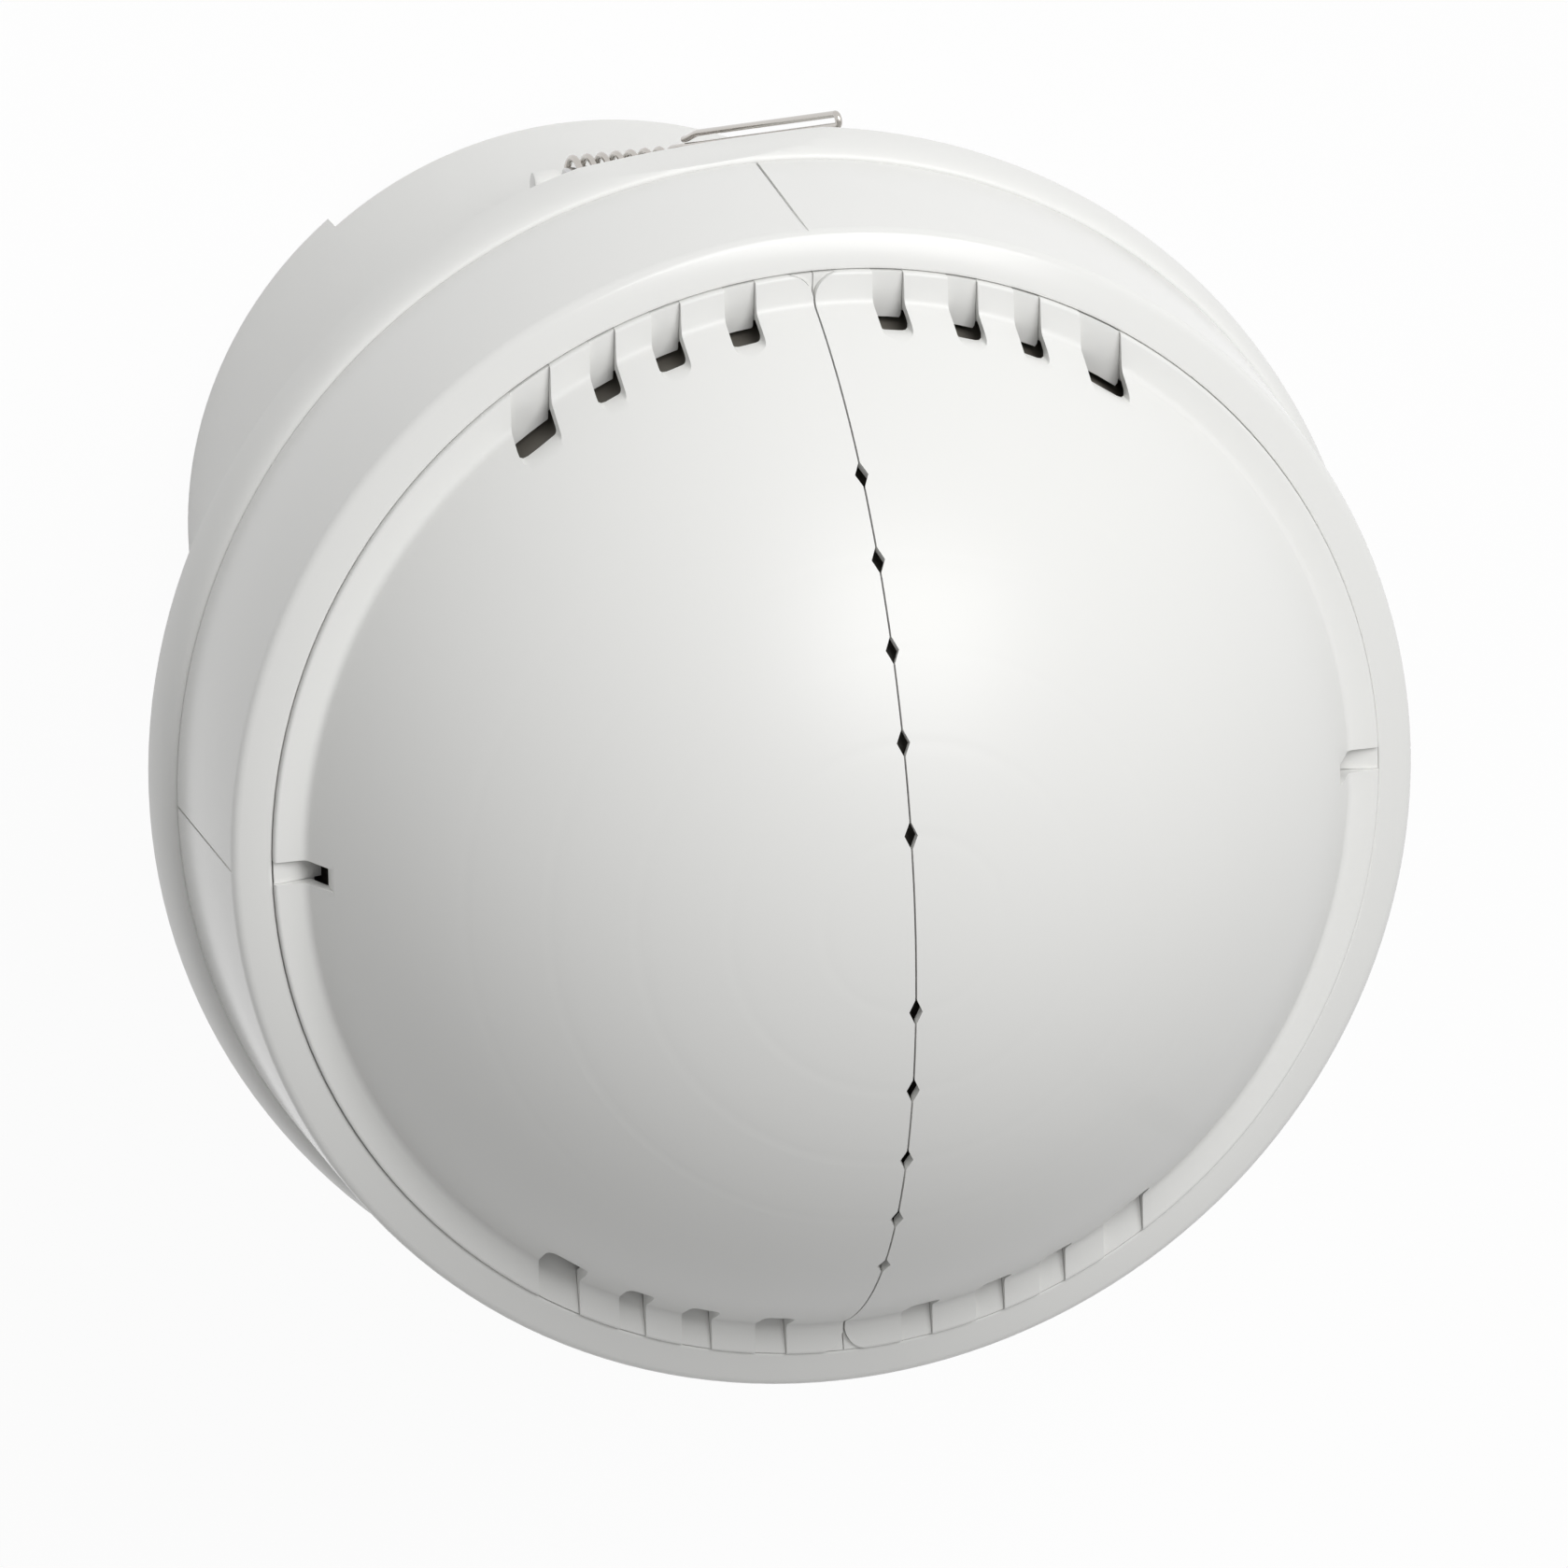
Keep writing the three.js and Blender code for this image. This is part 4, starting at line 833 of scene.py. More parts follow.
def flange_body():
    """Clamping flange: collar, plate, rounded bead and standoffs."""
    size = bpy.context.scene.drum_sizes
    back = DRUM_HIGH.z + FIT_GAP
    face = back + size.flange_thick
    top = BEZEL_FOOT - FIT_GAP
    body = BEZEL_HIGH.x
    outer = FLANGE_HIGH.x
    collar = DRUM_HIGH.x + FIT_GAP
    fine = SMALL_EDGE
    bead_low = back + size.flange_bevel
    bead = arc((body, bead_low), (outer - body, top - bead_low), 0, QUARTER, BEAD_STEP)
    section = rounded([
        (size.flange_hole, back, fine), (collar, back, 0), (collar, FLANGE_LOW.z, fine),
        (collar + size.collar_wall, FLANGE_LOW.z, fine), (collar + size.collar_wall, back, fine),
        (outer - size.flange_bevel, back, 2 * fine), *bead,
        (body - size.bead_wall, top, fine), (body - size.bead_wall, face, 0), (size.flange_hole, face, fine),
    ])
    flange = keep("clamping_flange", spun(section))
    stands = around(3, size.standoff_circle, -QUARTER)
    top_of_stand = face + size.standoff_height
    stand_rods = [rod(size.standoff_radius, back + size.flange_thick / 2, top_of_stand, place, POST_STEPS)
                  for place in stands]
    carve(flange, gathered(*stand_rods), "UNION")
    bores = [rod(size.bore_radius, top_of_stand - size.bore_depth / 2, top_of_stand + CUT_OVER, place)
             for place in stands]
    bezel_places = corners(bezel_screw_circle())
    holes = [rod(size.bore_radius, back - CUT_OVER, face + CUT_OVER, place)
             for place in (*corners(size.post_circle), *bezel_places)]
    head_low, head_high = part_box("bezel_screw_1")
    head_radius = (head_high.x - head_low.x) / 2 + FIT_GAP
    counterbores = [rod(head_radius, back - CUT_OVER, back + size.counterbore, place, POST_STEPS)
                    for place in bezel_places]
    carve(flange, gathered(*bores, *holes))
    carve(flange, gathered(*counterbores))
    reach = outer - size.relief_depth
    flat = block((-reach, reach, back - CUT_OVER), (reach, outer + CUT_OVER, top + CUT_OVER))
    carve(flange, gathered(*on_both_sides(flat, RELIEF_TURN)))
    return flange


def bezel_screw_circle():
    """Radius of the circle that the bezel's screws stand on."""
    return math.hypot(*middle_of("bezel_screw_1").xy)


def bezel_body():
    """Front bezel: tapered wall, rounded crest, lip, ledge, screw posts and four thin grooves."""
    size = bpy.context.scene.front_sizes
    drum = bpy.context.scene.drum_sizes
    crest = BEZEL_HIGH.z
    bottom = BEZEL_FOOT - FIT_GAP + size.joint_line
    body = BEZEL_HIGH.x
    lip = COVER_HIGH.x + size.channel
    ledge = crest - size.ledge_drop
    ledge_inner = lip - size.ledge_reach
    fine = FINE_EDGE
    section = rounded([
        (body - size.bezel_wall, bottom, fine), (body, bottom, fine),
        (size.shoulder_radius, crest - size.crest_fall, size.crest_round), (lip, crest, size.lip_round),
        (lip, ledge, 0), (ledge_inner, ledge, fine),
        (ledge_inner, ledge - size.ledge_thick, fine),
        (size.shoulder_radius - size.bezel_wall, ledge - size.ledge_thick, 0),
    ])
    bezel = keep("bezel_body", spun(section))
    circle = bezel_screw_circle()
    post_low = BEZEL_LOW.z
    post_high = post_low + size.post_top
    posts = [rod(size.post_radius, post_low, post_high, place, POST_STEPS) for place in corners(circle)]
    half_web, half_groove = size.web_thick / 2, size.groove_width / 2
    web = block((circle, -half_web, BEZEL_FOOT), (body - size.bezel_wall / 2, half_web, post_high))
    carve(bezel, gathered(*posts), "UNION")
    carve(bezel, gathered(*on_quarters(web, QUARTER / 2)), "UNION")
    bores = [rod(drum.bore_radius, post_low - CUT_OVER, post_low + drum.bore_depth, place)
             for place in corners(circle)]
    groove = block((size.shoulder_radius - size.groove_depth, -half_groove, bottom - CUT_OVER),
                   (body + CUT_OVER, half_groove, crest + CUT_OVER))
    carve(bezel, gathered(*bores, *on_quarters(groove)))
    return bezel


def rim_top():
    """Height of the upper face of the dome's rim."""
    return BEZEL_HIGH.z + bpy.context.scene.front_sizes.rim_proud


def dome_centre():
    """Height of the dome sphere's centre."""
    size = bpy.context.scene.front_sizes
    return rim_top() - math.sqrt(size.dome_radius ** 2 - size.dome_base ** 2)


def ring_profile(angle):
    """How far the dome dips at the faint rings, from 0 to 1, at an angle from its apex."""
    size = bpy.context.scene.front_sizes
    nearest = min(max(1, round(angle / DIAMOND_STEP)), DIAMOND_COUNT) * DIAMOND_STEP
    off = abs(angle - nearest) * size.dome_radius / (size.ring_width / 2)
    return max(0, 1 - off * off)


def dome_outline(radius, reach, rings):
    """(radius, height) points of a sphere about the dome's centre from the apex out to a reach."""
    size = bpy.context.scene.front_sizes
    last = math.asin(reach / radius)
    count = round(last / SPHERE_STEP)
    angles = [last * k / count for k in range(count + 1)]
    if rings:
        half = size.ring_width / size.dome_radius / 2
        angles += [DIAMOND_STEP * k + share * half
                   for k in range(1, DIAMOND_COUNT + 1) for share in (-1, -0.5, 0, 0.5, 1)]
    points = []
    for angle in sorted(angles):
        dip = size.ring_depth * ring_profile(angle) if rings else 0
        points.append(((radius - dip) * math.sin(angle), dome_centre() + (radius - dip) * math.cos(angle), 0))
    return points


def cover_section():
    """Section of the masking dome with its rim and skirt."""
    size = bpy.context.scene.front_sizes
    rim = COVER_HIGH.x
    under = rim_top() - size.rim_plate
    inner = size.dome_radius - size.dome_wall
    meet = math.sqrt(inner ** 2 - (under - dome_centre()) ** 2)
    outside = dome_outline(size.dome_radius, size.dome_base, True)
    base_x, base_y, _ = outside.pop()
    inside = dome_outline(inner, meet, False)
    fine = size.rim_round / 2
    return rounded([
        *outside, (base_x, base_y, size.dome_fillet), (rim, rim_top(), size.rim_round),
        (rim, COVER_LOW.z, fine), (rim - size.skirt_wall, COVER_LOW.z, fine),
        (rim - size.skirt_wall, under, 0), *reversed(inside),
    ])


def slot_plan(place, inset=0):
    """Plan of one rim slot in the first quarter, its inner end on a circle and its outer end open."""
    size = bpy.context.scene.front_sizes
    rim = COVER_HIGH.x
    middle, half = SLOT_PLACE_SHARES[place] * rim, SLOT_WIDTH_SHARES[place] * rim / 2 - inset
    left, right, far = middle - half, middle + half, rim + CUT_OVER
    return rounded([
        (left, far, 0), (left, math.sqrt(size.slot_inner ** 2 - left ** 2), size.slot_corner),
        (right, math.sqrt(size.slot_inner ** 2 - right ** 2), size.slot_corner), (right, far, 0),
    ])


def rim_openings(inset, more_plans=()):
    """Upright prisms of every slot and notch of the rim, and of any more plans."""
    size = bpy.context.scene.front_sizes
    low, high = COVER_LOW.z - CUT_OVER, rim_top() + OPENING_RISE
    half_notch = size.notch_width / 2 - inset
    shapes = []
    for side_x in (-1, 1):
        for side_y in (-1, 1):
            flip = Matrix.Diagonal((side_x, side_y, 1, 1))
            plans = [slot_plan(place, inset) for place in range(len(SLOT_PLACE_SHARES))] + list(more_plans)
            shapes += [moved(prism(plan, low, high), flip) for plan in plans]
        edges = sorted((side_x * size.notch_inner, side_x * (COVER_HIGH.x + CUT_OVER)))
        shapes.append(block((edges[0], -half_notch, low), (edges[1], half_notch, high)))
    return shapes


def ring_tabs(inner):
    """Tabs of the lens ring, which rise into the slots and notches of the rim."""
    size = bpy.context.scene.front_sizes
    rim, top = COVER_HIGH.x - size.tab_gap, rim_top() - size.tab_sink
    tabs = keep("tabs", spun([
        (inner, RING_HIGH.z - CUT_OVER), (rim - size.skirt_wall - CUT_OVER, COVER_LOW.z),
        (rim, COVER_LOW.z), (rim, top), (rim - size.tab_flat, top), (inner, RING_HIGH.z - size.tab_fall),
    ]))
    carve(tabs, gathered(*rim_openings(size.tab_gap, [seam_corner_plan(size.seam / 5)])), "INTERSECT")
    bm = copied(tabs.data)
    bpy.data.objects.remove(tabs)
    return outward(bm)


def seam_corner_plan(inset=0):
    """Plan of the waste outside the round corner where the rim meets the seam."""
    size = bpy.context.scene.front_sizes
    radius, rim = size.seam_corner, COVER_HIGH.x
    centre_x = size.seam / 2 + radius
    centre_y = math.sqrt((rim - radius) ** 2 - centre_x ** 2)
    far = (rim + CUT_OVER) / (rim - radius)
    curve = arc((centre_x, centre_y), (radius + inset, radius + inset), math.pi,
                math.atan2(centre_y, centre_x), CORNER_STEP)
    inside = size.seam / 4
    return [(inside, centre_y), *((x, y) for x, y, _ in curve), (centre_x * far, centre_y * far),
            (inside, centre_y * far)]


def cover_halves():
    """Both halves of the masking dome, with rim slots, notches, diamonds and the seam."""
    size = bpy.context.scene.front_sizes
    whole = keep("cover_shell", spun(cover_section()))
    carve(whole, gathered(*rim_openings(0, [seam_corner_plan()])))
    half_length, half_width = size.diamond_length / 2, size.diamond_width / 2
    diamond_plan = [(0, -half_length), (half_width, 0), (0, half_length), (-half_width, 0)]
    lift = Matrix.Translation((0, 0, dome_centre()))
    deep, high = size.dome_radius - 2 * size.dome_wall, size.dome_radius + CUT_OVER
    angles = [side * DIAMOND_STEP * place for place in range(1, DIAMOND_COUNT + 1) for side in (-1, 1)]
    diamonds = [moved(prism(diamond_plan, deep, high), lift @ Matrix.Rotation(angle, 4, "X"))
                for angle in angles]
    carve(whole, gathered(*diamonds))
    halves = {}
    for side, name in ((-1, "left"), (1, "right")):
        bm = copied(whole.data)
        bmesh.ops.remove_doubles(bm, verts=bm.verts, dist=WELD)
        bmesh.ops.bisect_plane(bm, geom=bm.verts[:] + bm.edges[:] + bm.faces[:], dist=WELD,
                               plane_co=(side * size.seam / 2, 0, 0), plane_no=(side, 0, 0), clear_inner=True)
        bmesh.ops.holes_fill(bm, edges=[edge for edge in bm.edges if edge.is_boundary])
        halves[name] = keep(f"dome_{name}", outward(bm))
    bpy.data.objects.remove(whole)
    return halves


def lens_ring_body():
    """White ring that carries the lens and shows in the slots of the rim."""
    size = bpy.context.scene.front_sizes
    flange, low, high = RING_HIGH.x, RING_LOW.z, RING_HIGH.z
    tube_outer = flange - size.ring_flange
    inner = tube_outer - size.ring_wall
    lip, lip_top = inner - size.ring_lip, low + size.ring_lip_thick
    seat = BEZEL_HIGH.z - size.ring_seat
    fine = SMALL_EDGE
    carrier = keep("lens_carrier", spun(rounded([
        (lip, low, fine), (tube_outer, low, fine), (tube_outer, seat, 0), (flange, seat, fine),
        (flange, high, SOFT_EDGE), (inner, high, SOFT_EDGE), (inner, lip_top, 0), (lip, lip_top, fine),
    ])))
    carve(carrier, ring_tabs(inner - size.tab_reach), "UNION")
    return carrier


def lens_body():
    """Smoked dome of the lens with its straight collar; its dark colour is partly painted shade inside the masking
    dome.
    """
    size = bpy.context.scene.front_sizes
    outer, collar, wall, fine = LENS_HIGH.z - dome_centre(), LENS_HIGH.x, size.lens_wall, SMALL_EDGE
    outside = dome_outline(outer, collar, False)
    inside = dome_outline(outer - wall, collar - wall, False)
    return keep("lens_dome", spun(rounded([
        *outside, (collar, LENS_LOW.z, fine), (collar - wall, LENS_LOW.z, fine), *reversed(inside),
    ]), ROUND_STEPS // 2))


# Wire clips

def winding(start, first, last):
    """Points of a winding about the clip's axis between two angles."""
    size = bpy.context.scene.clip_sizes
    count = math.ceil((last - first) / FULL_TURN * WIRE_STEPS)
    points = []
    for k in range(count + 1):
        angle = first + (last - first) * k / count
        points.append(Vector((start + size.pitch * (angle - first) / FULL_TURN,
                              size.coil_radius * math.cos(angle), size.coil_radius * math.sin(angle))))
    return points


def coil_path():
    """Fixed winding with its leg into the drum's wall."""
    size = bpy.context.scene.clip_sizes
    turns = winding(size.start, -QUARTER, (COIL_TURNS - COIL_BREAK) * FULL_TURN - QUARTER)
    wall = math.sqrt(DRUM_HIGH.x ** 2 - size.start ** 2) + LEG_GAP - CLIP_AXIS.y
    leg = [Vector((turns[0].x, wall + (turns[0].y - wall) * share, turns[0].z)) for share in (0, 0.5)]
    return [*leg, *turns]


def arm_path():
    """Swinging arm: its own turn round the pin, then a long loop closed near the winding."""
    size = bpy.context.scene.clip_sizes
    turn = winding(size.start + COIL_TURNS * size.pitch, -QUARTER, ARM_EXIT)
    exit_point = turn[-1]
    tip = Vector((exit_point.x + size.arm_side, FLANGE_HIGH.x - TIP_INSET - CLIP_AXIS.y,
                  DRUM_HIGH.z + FIT_GAP - TIP_SETBACK - CLIP_AXIS.z))
    along = (tip - exit_point).normalized()
    off_wall = Vector((0, along.z, -along.y)).normalized()
    sideways = off_wall.cross(along).normalized()
    across = off_wall * math.cos(LOOP_TILT) + sideways * math.sin(LOOP_TILT)
    bend = size.wire_radius + size.loop_gap / 2
    centre = tip - along * bend + across * bend
    angles = [math.pi * k / WIRE_STEPS for k in range(WIRE_STEPS + 1)]
    loop = [centre + (along * math.sin(angle) - across * math.cos(angle)) * bend for angle in angles]
    least = 2 * size.wire_radius + LOOP_CLEARANCE
    close = [exit_point + along * (size.loop_short + size.loop_taper * (1 - share))
             + across * (least + (2 * bend - least) * math.cos(share * QUARTER) ** 2)
             for share in CLOSING_SHARES]
    foot = [exit_point.lerp(tip, share) for share in FOOT_SHARES]
    return [*turn, *foot, *loop, *close]


def wire_piece(name, points, turn):
    """A wire of round section through points about a clip's axis."""
    size = bpy.context.scene.clip_sizes
    data = bpy.data.curves.new(name, "CURVE")
    data.dimensions = "3D"
    data.bevel_depth = size.wire_radius
    data.bevel_resolution = WIRE_FINENESS
    data.use_fill_caps = True
    spline = data.splines.new("POLY")
    spline.points.add(len(points) - 1)
    place = at_clip(turn)
    for knot, point in zip(spline.points, points):
        knot.co = (*(place @ point), 1)
    drawn = bpy.data.objects.new(name, data)
    bpy.context.scene.collection.objects.link(drawn)
    graph = bpy.context.evaluated_depsgraph_get()
    mesh = bpy.data.meshes.new_from_object(drawn.evaluated_get(graph))
    bpy.data.objects.remove(drawn)
    bpy.data.curves.remove(data)
    bm = copied(mesh)
    bpy.data.meshes.remove(mesh)
    return keep(name, outward(bm))


def pin_body(name, turn):
    """Clip pin: a barrel inside the winding and thinner ends in the lugs."""
    size = bpy.context.scene.clip_sizes
    end, shoulder = PIN_HIGH.x, bpy.context.scene.drum_sizes.lug_inner - FIT_GAP
    thin, thick, fine = size.journal_radius, size.barrel_radius, SMALL_EDGE
    half = [(thin, shoulder, 0), (thick, shoulder, fine), (thick, 0, 0)]
    place = at_clip(turn) @ Matrix.Rotation(QUARTER, 4, "Y")
    section = rounded([
        (0, end, 0), (thin, end, fine), *half, *((x, -y, r) for x, y, r in reversed(half[:2])),
        (thin, -end, fine), (0, -end, 0),
    ])
    return keep(name, moved(spun(section, SMALL_STEPS), place))


# Screws and inner parts

def placed(template, name, matrix):
    """A copy of a template piece with its place in its mesh."""
    mesh = template.data.copy()
    mesh.transform(matrix)
    made = bpy.data.objects.new(name, mesh)
    bpy.context.scene.collection.objects.link(made)
    return made


def screw_template(length_over_all, head):
    """Cross-recessed screw along +Z with its head's face at height 0."""
    size = bpy.context.scene.inner_sizes
    section = [(0, 0, 0), (head, 0, size.head_dome), (head, size.head_height, FINE_EDGE)]
    crests = int((length_over_all - size.head_height) / size.thread_pitch)
    for crest in range(crests):
        height = size.head_height + size.thread_start + crest * size.thread_pitch
        section += [(size.shank, height, 0), (size.shank, height + size.thread_crest, 0),
                    (size.thread_core, height + size.thread_pitch / 2, 0)]
    section += [(size.shank, length_over_all - SOFT_EDGE, 0), (size.thread_core, length_over_all, 0),
                (0, length_over_all, 0)]
    screw = keep("screw", spun(rounded(section), SMALL_STEPS))
    for turn in (0, QUARTER):
        carve(screw, moved(block((-size.recess_reach, -size.recess_width / 2, -CUT_OVER),
                                 (size.recess_reach, size.recess_width / 2, size.recess_depth)),
                           Matrix.Rotation(turn + QUARTER / 2, 4, "Z")))
    return screw


def screws(kind, count, head_up):
    """All the screws of one kind, each at its node's place."""
    low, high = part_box(f"{kind}_1")
    template = screw_template(high.z - low.z, (high.y - low.y) / 2)
    flip = Matrix.Rotation(math.pi if head_up else 0, 4, "X")
    for number in range(1, count + 1):
        node = f"{kind}_{number}"
        place = Matrix.Translation((*middle_of(node).xy, high.z if head_up else low.z)) @ flip
        dress(placed(template, f"{kind}_piece_{number}", place), "housing", "screw_steel", node)
    bpy.data.objects.remove(template)


def terminal_screw(node):
    """Slotted clamping screw of the terminal block."""
    size = bpy.context.scene.inner_sizes
    low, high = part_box(node)
    middle, radius, depth = (low + high) / 2, (high.y - low.y) / 2, high.z - low.z
    screw = standing(node, [(0, 0, 0), (radius, 0, SOFT_EDGE), (radius, depth, SOFT_EDGE), (0, depth, 0)],
                     SMALL_STEPS)
    carve(screw, block((middle.x - size.slot_width / 2, middle.y - 2 * radius, low.z - CUT_OVER),
                       (middle.x + size.slot_width / 2, middle.y + 2 * radius, low.z + size.slot_depth)))
    return screw


def dial_body(node):
    """Knurled setting dial with its pointer slot and shaft."""
    size = bpy.context.scene.inner_sizes
    low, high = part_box(node)
    radius, depth, fine = (high.x - low.x) / 2, high.z - low.z, SOFT_EDGE
    shaft, knob, half_slot = size.dial_shaft, size.dial_height, size.dial_slot / 2
    dial = standing(node, [(0, 0, 0), (radius, 0, fine), (radius, knob, fine), (shaft, knob, fine),
                           (shaft, depth, fine), (0, depth, 0)], 2 * POST_STEPS)
    place = Matrix.Translation((*middle_of(node).xy, low.z))
    grooves = [moved(rod(size.knurl, 2 * fine, knob + CUT_OVER, spot, KNURL_STEPS), place)
               for spot in around(KNURL_COUNT, radius, 0)]
    pointer = block((-half_slot, 0, -CUT_OVER), (half_slot, radius + CUT_OVER, size.dial_slot_depth))
    carve(dial, gathered(*grooves))
    carve(dial, moved(pointer, place))
    return dial


def softened(node):
    """A copy of a node with its edges rounded a little."""
    bm = outward(copied(frame["nodes"][node].data))
    bmesh.ops.dissolve_limit(bm, angle_limit=FLAT_ANGLE, verts=bm.verts, edges=bm.edges)
    return keep(f"{node}_piece", eased(bm, bpy.context.scene.inner_sizes.edge))


def standing(node, section, steps=POST_STEPS):
    """A turned piece on its node's axis, from (radius, height, rounding) over its lowest point."""
    place = Matrix.Translation((*middle_of(node).xy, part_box(node)[0].z))
    return keep(f"{node}_piece", moved(spun(rounded(section), steps), place))


def sensor_can(node):
    """Metal sensor can with its flange and sunk window."""
    size = bpy.context.scene.inner_sizes
    low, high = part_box(node)
    flange, top, fine = (high.y - low.y) / 2, high.z - low.z, FINE_EDGE
    step, barrel, window, sunk = size.can_flange, size.can_radius, size.can_window, top - size.can_sink
    return standing(node, [
        (0, 0, 0), (flange, 0, fine), (flange, step, fine), (barrel, step, fine),
        (barrel, top, ROUND_EDGE), (window, top, fine), (window, sunk, 0), (0, sunk, 0),
    ])


def lamp_body(node):
    """Round-ended lamp."""
    low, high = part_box(node)
    radius, top = (high.y - low.y) / 2, high.z - low.z
    return standing(node, [(0, 0, 0), (radius, 0, FINE_EDGE),
                           *arc((0, top - radius), (radius, radius), 0, QUARTER, CORNER_STEP)], SMALL_STEPS)


def capacitor_body(node):
    """Can-shaped capacitor lying towards -Y, with a crimped groove near its foot."""
    size = bpy.context.scene.inner_sizes
    low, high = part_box(node)
    middle, radius, depth = (low + high) / 2, (high.z - low.z) / 2, high.y - low.y
    crimp, foot, fine = size.crimp, 4 * size.crimp, FINE_EDGE
    place = Matrix.Translation((middle.x, high.y, middle.z)) @ Matrix.Rotation(QUARTER, 4, "X")
    return keep(f"{node}_piece", moved(spun(rounded([
        (0, 0, 0), (radius, 0, SOFT_EDGE), (radius, foot, fine), (radius - crimp, foot + crimp, SOFT_EDGE),
        (radius, foot + 2 * crimp, fine), (radius, depth, ROUND_EDGE), (0, depth, 0),
    ]), POST_STEPS), place))


INNER_PIECES = {
    softened: ("rear_cover", "cable_clamp", "terminal_block", "relay", "board_header", "potentiometer_time",
               "potentiometer_light", "transformer_core", "transformer_winding", "main_board",
               "sensor_board"),
    dial_body: ("dial_time", "dial_light"),
    sensor_can: ("heat_sensor_1", "heat_sensor_2", "heat_sensor_3"),
    lamp_body: ("light_sensor", "status_lamp"),
    capacitor_body: ("smoothing_capacitor_1", "smoothing_capacitor_2"),
}


# Operators

class DETECTOR_OT_drum(bpy.types.Operator):
    """Builds the drum and the clamping flange"""

    bl_idname = "detector.drum"
    bl_label = "Drum and flange"

    def execute(self, context):
        dress(drum_body(), "housing", "housing_white", "drum_housing")
        dress(flange_body(), "housing", "housing_white", "mounting_flange")
        return {"FINISHED"}


class DETECTOR_OT_front(bpy.types.Operator):
    """Builds the bezel, the lens ring and the lens"""

    bl_idname = "detector.front"
    bl_label = "Bezel and lens"

    def execute(self, context):
        dress(bezel_body(), "housing", "bezel_white", "front_bezel")
        dress(lens_ring_body(), "housing", "bezel_white", "lens_ring")
        dress(lens_body(), "housing", "smoked_lens", "lens")
        return {"FINISHED"}


class DETECTOR_OT_cover(bpy.types.Operator):
    """Builds the two halves of the masking dome"""

    bl_idname = "detector.cover"
    bl_label = "Masking dome"

    def execute(self, context):
        for side, piece in cover_halves().items():
            dress(piece, f"cover_{side}", "cover_white", f"cover_half_{side}")
        return {"FINISHED"}


class DETECTOR_OT_clips(bpy.types.Operator):
    """Builds the two ceiling clips with their pins"""

    bl_idname = "detector.clips"
    bl_label = "Ceiling clips"

    def execute(self, context):
        for name, turn in (("top", 0), ("bottom", math.pi)):
            coil = wire_piece(f"winding_{name}", coil_path(), turn)
            arm = wire_piece(f"arm_{name}", arm_path(), turn)
            pin = pin_body(f"pin_{name}", turn)
            dress(coil, "housing", "spring_wire", f"clip_spring_{name}")
            dress(arm, f"clip_arm_{name}", "spring_wire", f"clip_arm_{name}")
            dress(pin, "housing", "pin_steel", f"clip_pin_{name}")
        return {"FINISHED"}


class DETECTOR_OT_fasteners(bpy.types.Operator):
    """Builds the screws"""

    bl_idname = "detector.fasteners"
    bl_label = "Screws"

    def execute(self, context):
        for kind, count, head_up in SCREWS:
            screws(kind, count, head_up)
        for number in range(1, TERMINAL_COUNT + 1):
            node = f"terminal_screw_{number}"
            dress(terminal_screw(node), "housing", "screw_steel", node)
        return {"FINISHED"}


class DETECTOR_OT_inner(bpy.types.Operator):
    """Builds the rear cover, the dials and the parts on the boards"""

    bl_idname = "detector.inner"
    bl_label = "Rear cover and inner parts"

    def execute(self, context):
        record = frame["record"]
        slots = {row["node"]: row["material_slot"] for row in record["subparts"]}
        bodies = {node: body for body, nodes in record["behaviour"]["bodies"].items() for node in nodes}
        for make, nodes in INNER_PIECES.items():
            for node in nodes:
                dress(make(node), bodies[node], slots[node], node)
        return {"FINISHED"}


class DETECTOR_OT_nodes(bpy.types.Operator):
    """Gives every node of the frame its finish"""

    bl_idname = "detector.nodes"
    bl_label = "Finishes of the nodes"

    def execute(self, context):
        made = finishes()
        for row in frame["record"]["subparts"]:
            node = frame["nodes"][row["node"]]
            node.data.materials.clear()
            node.data.materials.append(made[row["material_slot"]])
        return {"FINISHED"}


class DETECTOR_OT_stage(bpy.types.Operator):
    """Places the floor, the lights and the camera"""

    bl_idname = "detector.stage"
    bl_label = "Floor, lights and camera"

    def execute(self, context):
        place_floor()
        place_lights()
        place_camera()
        return {"FINISHED"}


# Stage

def place_floor():
    """Pale floor that reads white and keeps a soft shadow."""
    bm = bmesh.new()
    bmesh.ops.create_grid(bm, x_segments=1, y_segments=1, size=FLOOR_SIZE / 2,
                          matrix=Matrix.Translation((0, 0, -FLOOR_DROP)))
    floor = keep("floor", bm)
    finish = Finish("floor")
    dust = finish.noise(DUST_SCALE, 3, 0.5)
    base = bpy.context.scene.detector_colours.floor
    finish.surface({"Base Color": finish.blend(dust, shade(base, 0.99), shade(base, 1.01)), "Roughness": 0.9})
    path = finish.tree.nodes.new("ShaderNodeLightPath")
    seen = Value(finish, path.outputs["Is Camera Ray"]) + Value(finish, path.outputs["Is Glossy Ray"])
    share = (seen + Value(finish, path.outputs["Is Transmission Ray"])) * FLOOR_WHITE
    white = finish.node("Emission", {}, {"Color": (1, 1, 1, 1), "Strength": 1.0})
    mixed = finish.node("MixShader", {}, {0: share, 1: Value(finish, finish.shader.outputs[0]), 2: white})
    finish.feed(finish.tree.nodes["Material Output"].inputs["Surface"], mixed)
    floor.data.materials.append(finish.material)


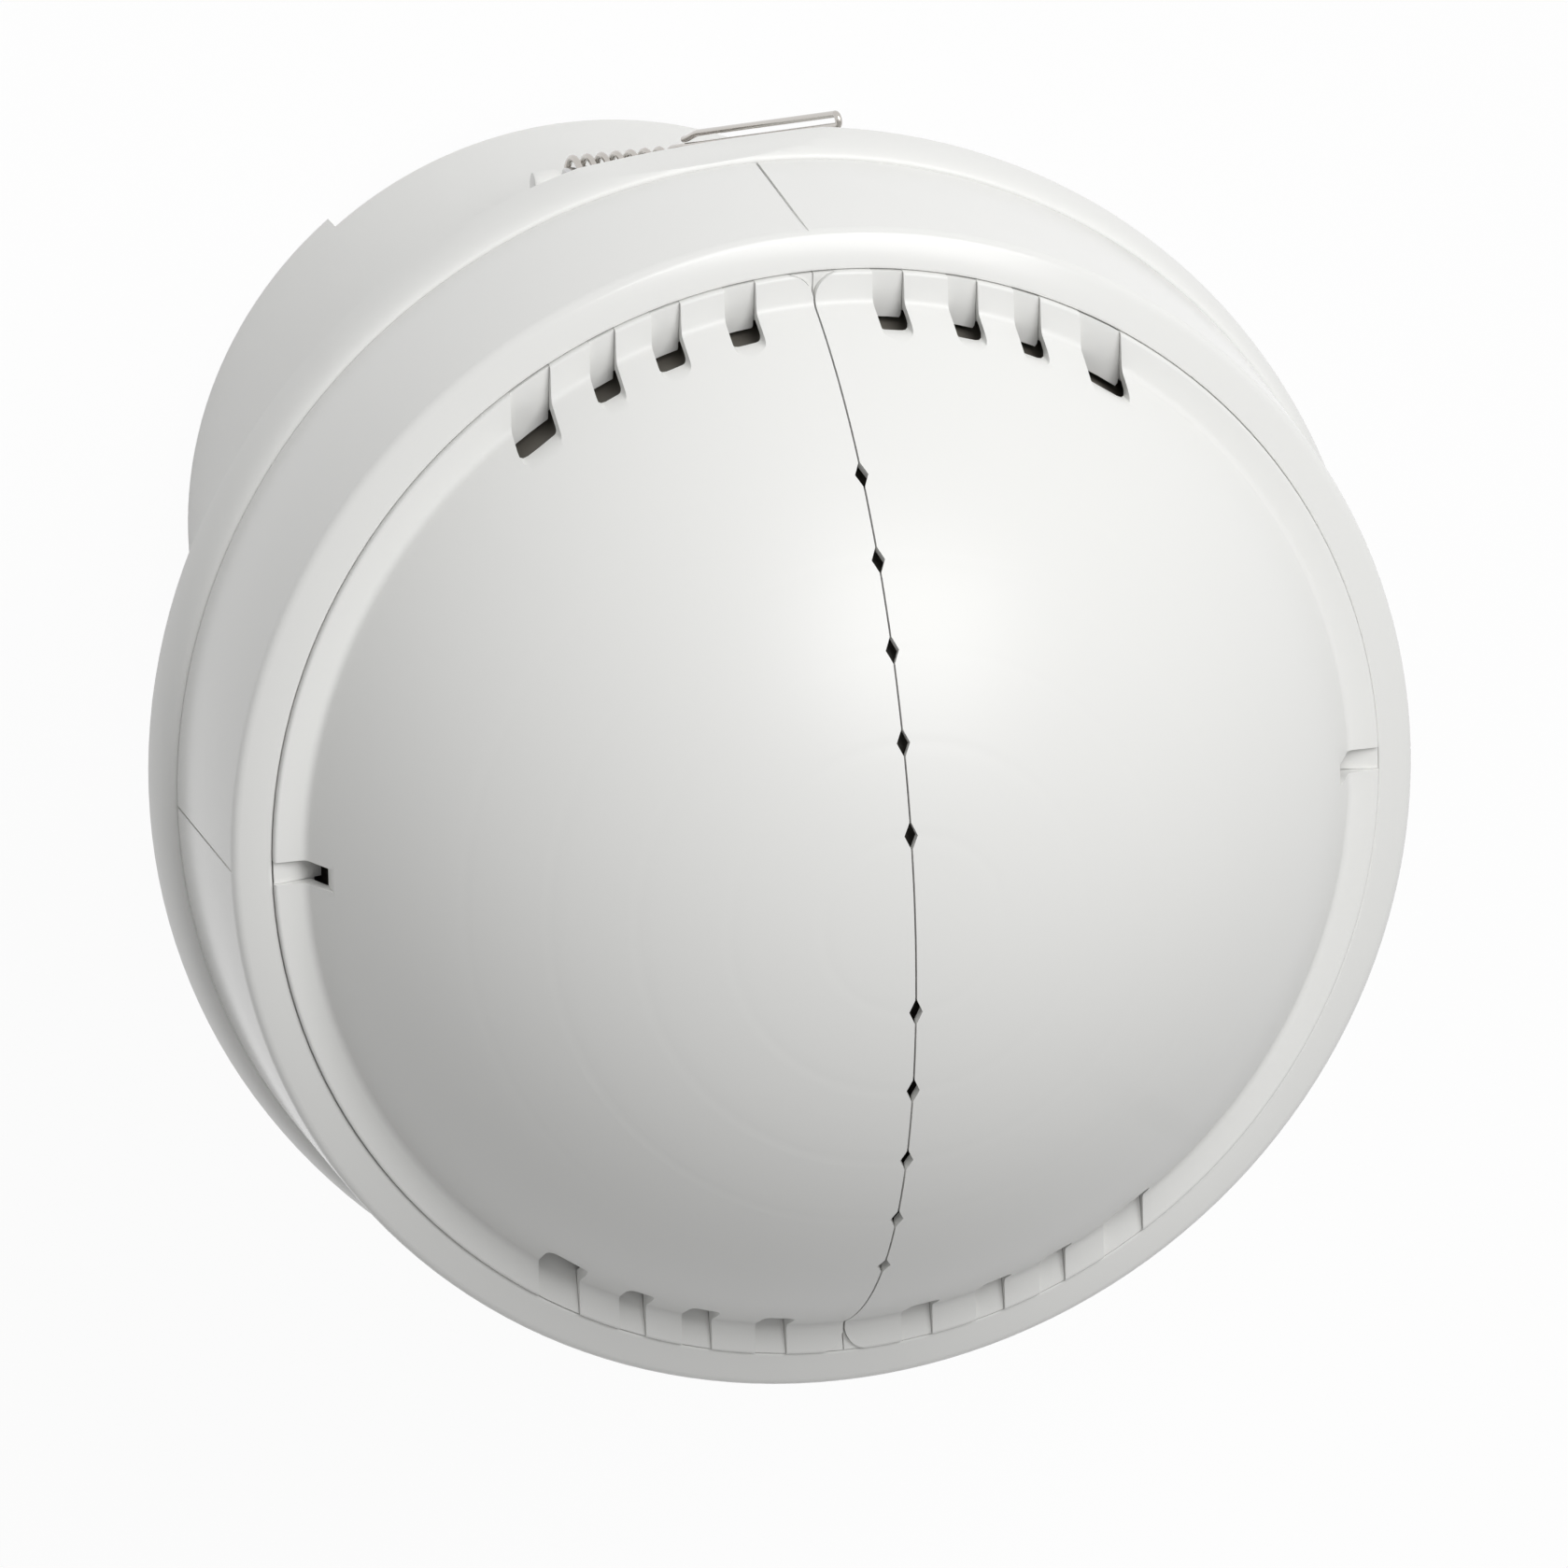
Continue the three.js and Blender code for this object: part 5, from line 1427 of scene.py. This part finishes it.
def place_lights():
    """Soft lamp from the upper right, and an even world that reads white where it is seen."""
    data = bpy.data.lights.new("key_lamp", "AREA")
    data.shape = "SQUARE"
    data.size = LAMP_SIDE
    data.energy = LAMP_POWER
    lamp = bpy.data.objects.new("key_lamp", data)
    bpy.context.scene.collection.objects.link(lamp)
    lamp.location = VIEW_AIM + LAMP_TOWARDS * LAMP_DISTANCE
    lamp.rotation_mode = "QUATERNION"
    lamp.rotation_quaternion = LAMP_TOWARDS.to_track_quat("Z", "Y")
    world = bpy.data.worlds.new("studio")
    bpy.context.scene.world = world
    world.use_nodes = True
    tree = world.node_tree
    back = tree.nodes["Background"]
    path = tree.nodes.new("ShaderNodeLightPath")
    strength = tree.nodes.new("ShaderNodeMapRange")
    strength.clamp = True
    seen = path.outputs["Is Camera Ray"]
    for name in ("Is Glossy Ray", "Is Transmission Ray"):
        either = tree.nodes.new("ShaderNodeMath")
        either.operation = "MAXIMUM"
        tree.links.new(seen, either.inputs[0])
        tree.links.new(path.outputs[name], either.inputs[1])
        seen = either.outputs[0]
    tree.links.new(seen, strength.inputs["Value"])
    strength.inputs["To Min"].default_value = WORLD_STRENGTH
    strength.inputs["To Max"].default_value = 1.0
    tree.links.new(strength.outputs["Result"], back.inputs["Strength"])
    back.inputs["Color"].default_value = (1, 1, 1, 1)


def place_camera():
    """Long lens at the photograph's viewpoint."""
    back = -VIEW_FORWARD.normalized()
    right = VIEW_UP.cross(back).normalized()
    up = back.cross(right)
    data = bpy.data.cameras.new("camera")
    data.sensor_width = VIEW_SENSOR
    data.lens = VIEW_LENS
    camera = bpy.data.objects.new("camera", data)
    bpy.context.scene.collection.objects.link(camera)
    camera.rotation_mode = "QUATERNION"
    camera.rotation_quaternion = Matrix((right, up, back)).transposed().to_quaternion()
    camera.location = VIEW_AIM + back * VIEW_DISTANCE - right * VIEW_OFFSET_RIGHT - up * VIEW_OFFSET_UP
    data.clip_start = VIEW_DISTANCE / 100
    data.clip_end = VIEW_DISTANCE * 10
    bpy.context.scene.camera = camera
    bpy.context.scene.view_settings.view_transform = "Standard"


class DETECTOR_PT_panel(bpy.types.Panel):
    """Lists the operators of the detector"""

    bl_idname = "DETECTOR_PT_panel"
    bl_label = "Heat detector"
    bl_space_type = "VIEW_3D"
    bl_region_type = "UI"
    bl_category = "Detector"

    def draw(self, context):
        for operator in OPERATORS:
            self.layout.operator(operator.bl_idname)


OPERATORS = (DETECTOR_OT_nodes, DETECTOR_OT_drum, DETECTOR_OT_front, DETECTOR_OT_cover, DETECTOR_OT_clips,
             DETECTOR_OT_fasteners, DETECTOR_OT_inner, DETECTOR_OT_stage)
GROUPS = {
    "drum_sizes": DrumSizes,
    "front_sizes": FrontSizes,
    "clip_sizes": ClipSizes,
    "inner_sizes": InnerSizes,
    "detector_colours": FinishColours,
}


def register():
    """Registers the groups, the operators and the panel."""
    for item in (*GROUPS.values(), *OPERATORS, DETECTOR_PT_panel):
        bpy.utils.register_class(item)
    for name, group in GROUPS.items():
        setattr(bpy.types.Scene, name, PointerProperty(type=group))


def unregister():
    """Takes them away again."""
    for name in GROUPS:
        delattr(bpy.types.Scene, name)
    for item in reversed((*GROUPS.values(), *OPERATORS, DETECTOR_PT_panel)):
        bpy.utils.unregister_class(item)


def main():
    """Builds the detector and its stage."""
    register()
    bpy.ops.detector.nodes()
    bpy.ops.detector.drum()
    bpy.ops.detector.front()
    bpy.ops.detector.cover()
    bpy.ops.detector.clips()
    bpy.ops.detector.fasteners()
    bpy.ops.detector.inner()
    bpy.ops.detector.stage()


if __name__ == "__main__":
    main()
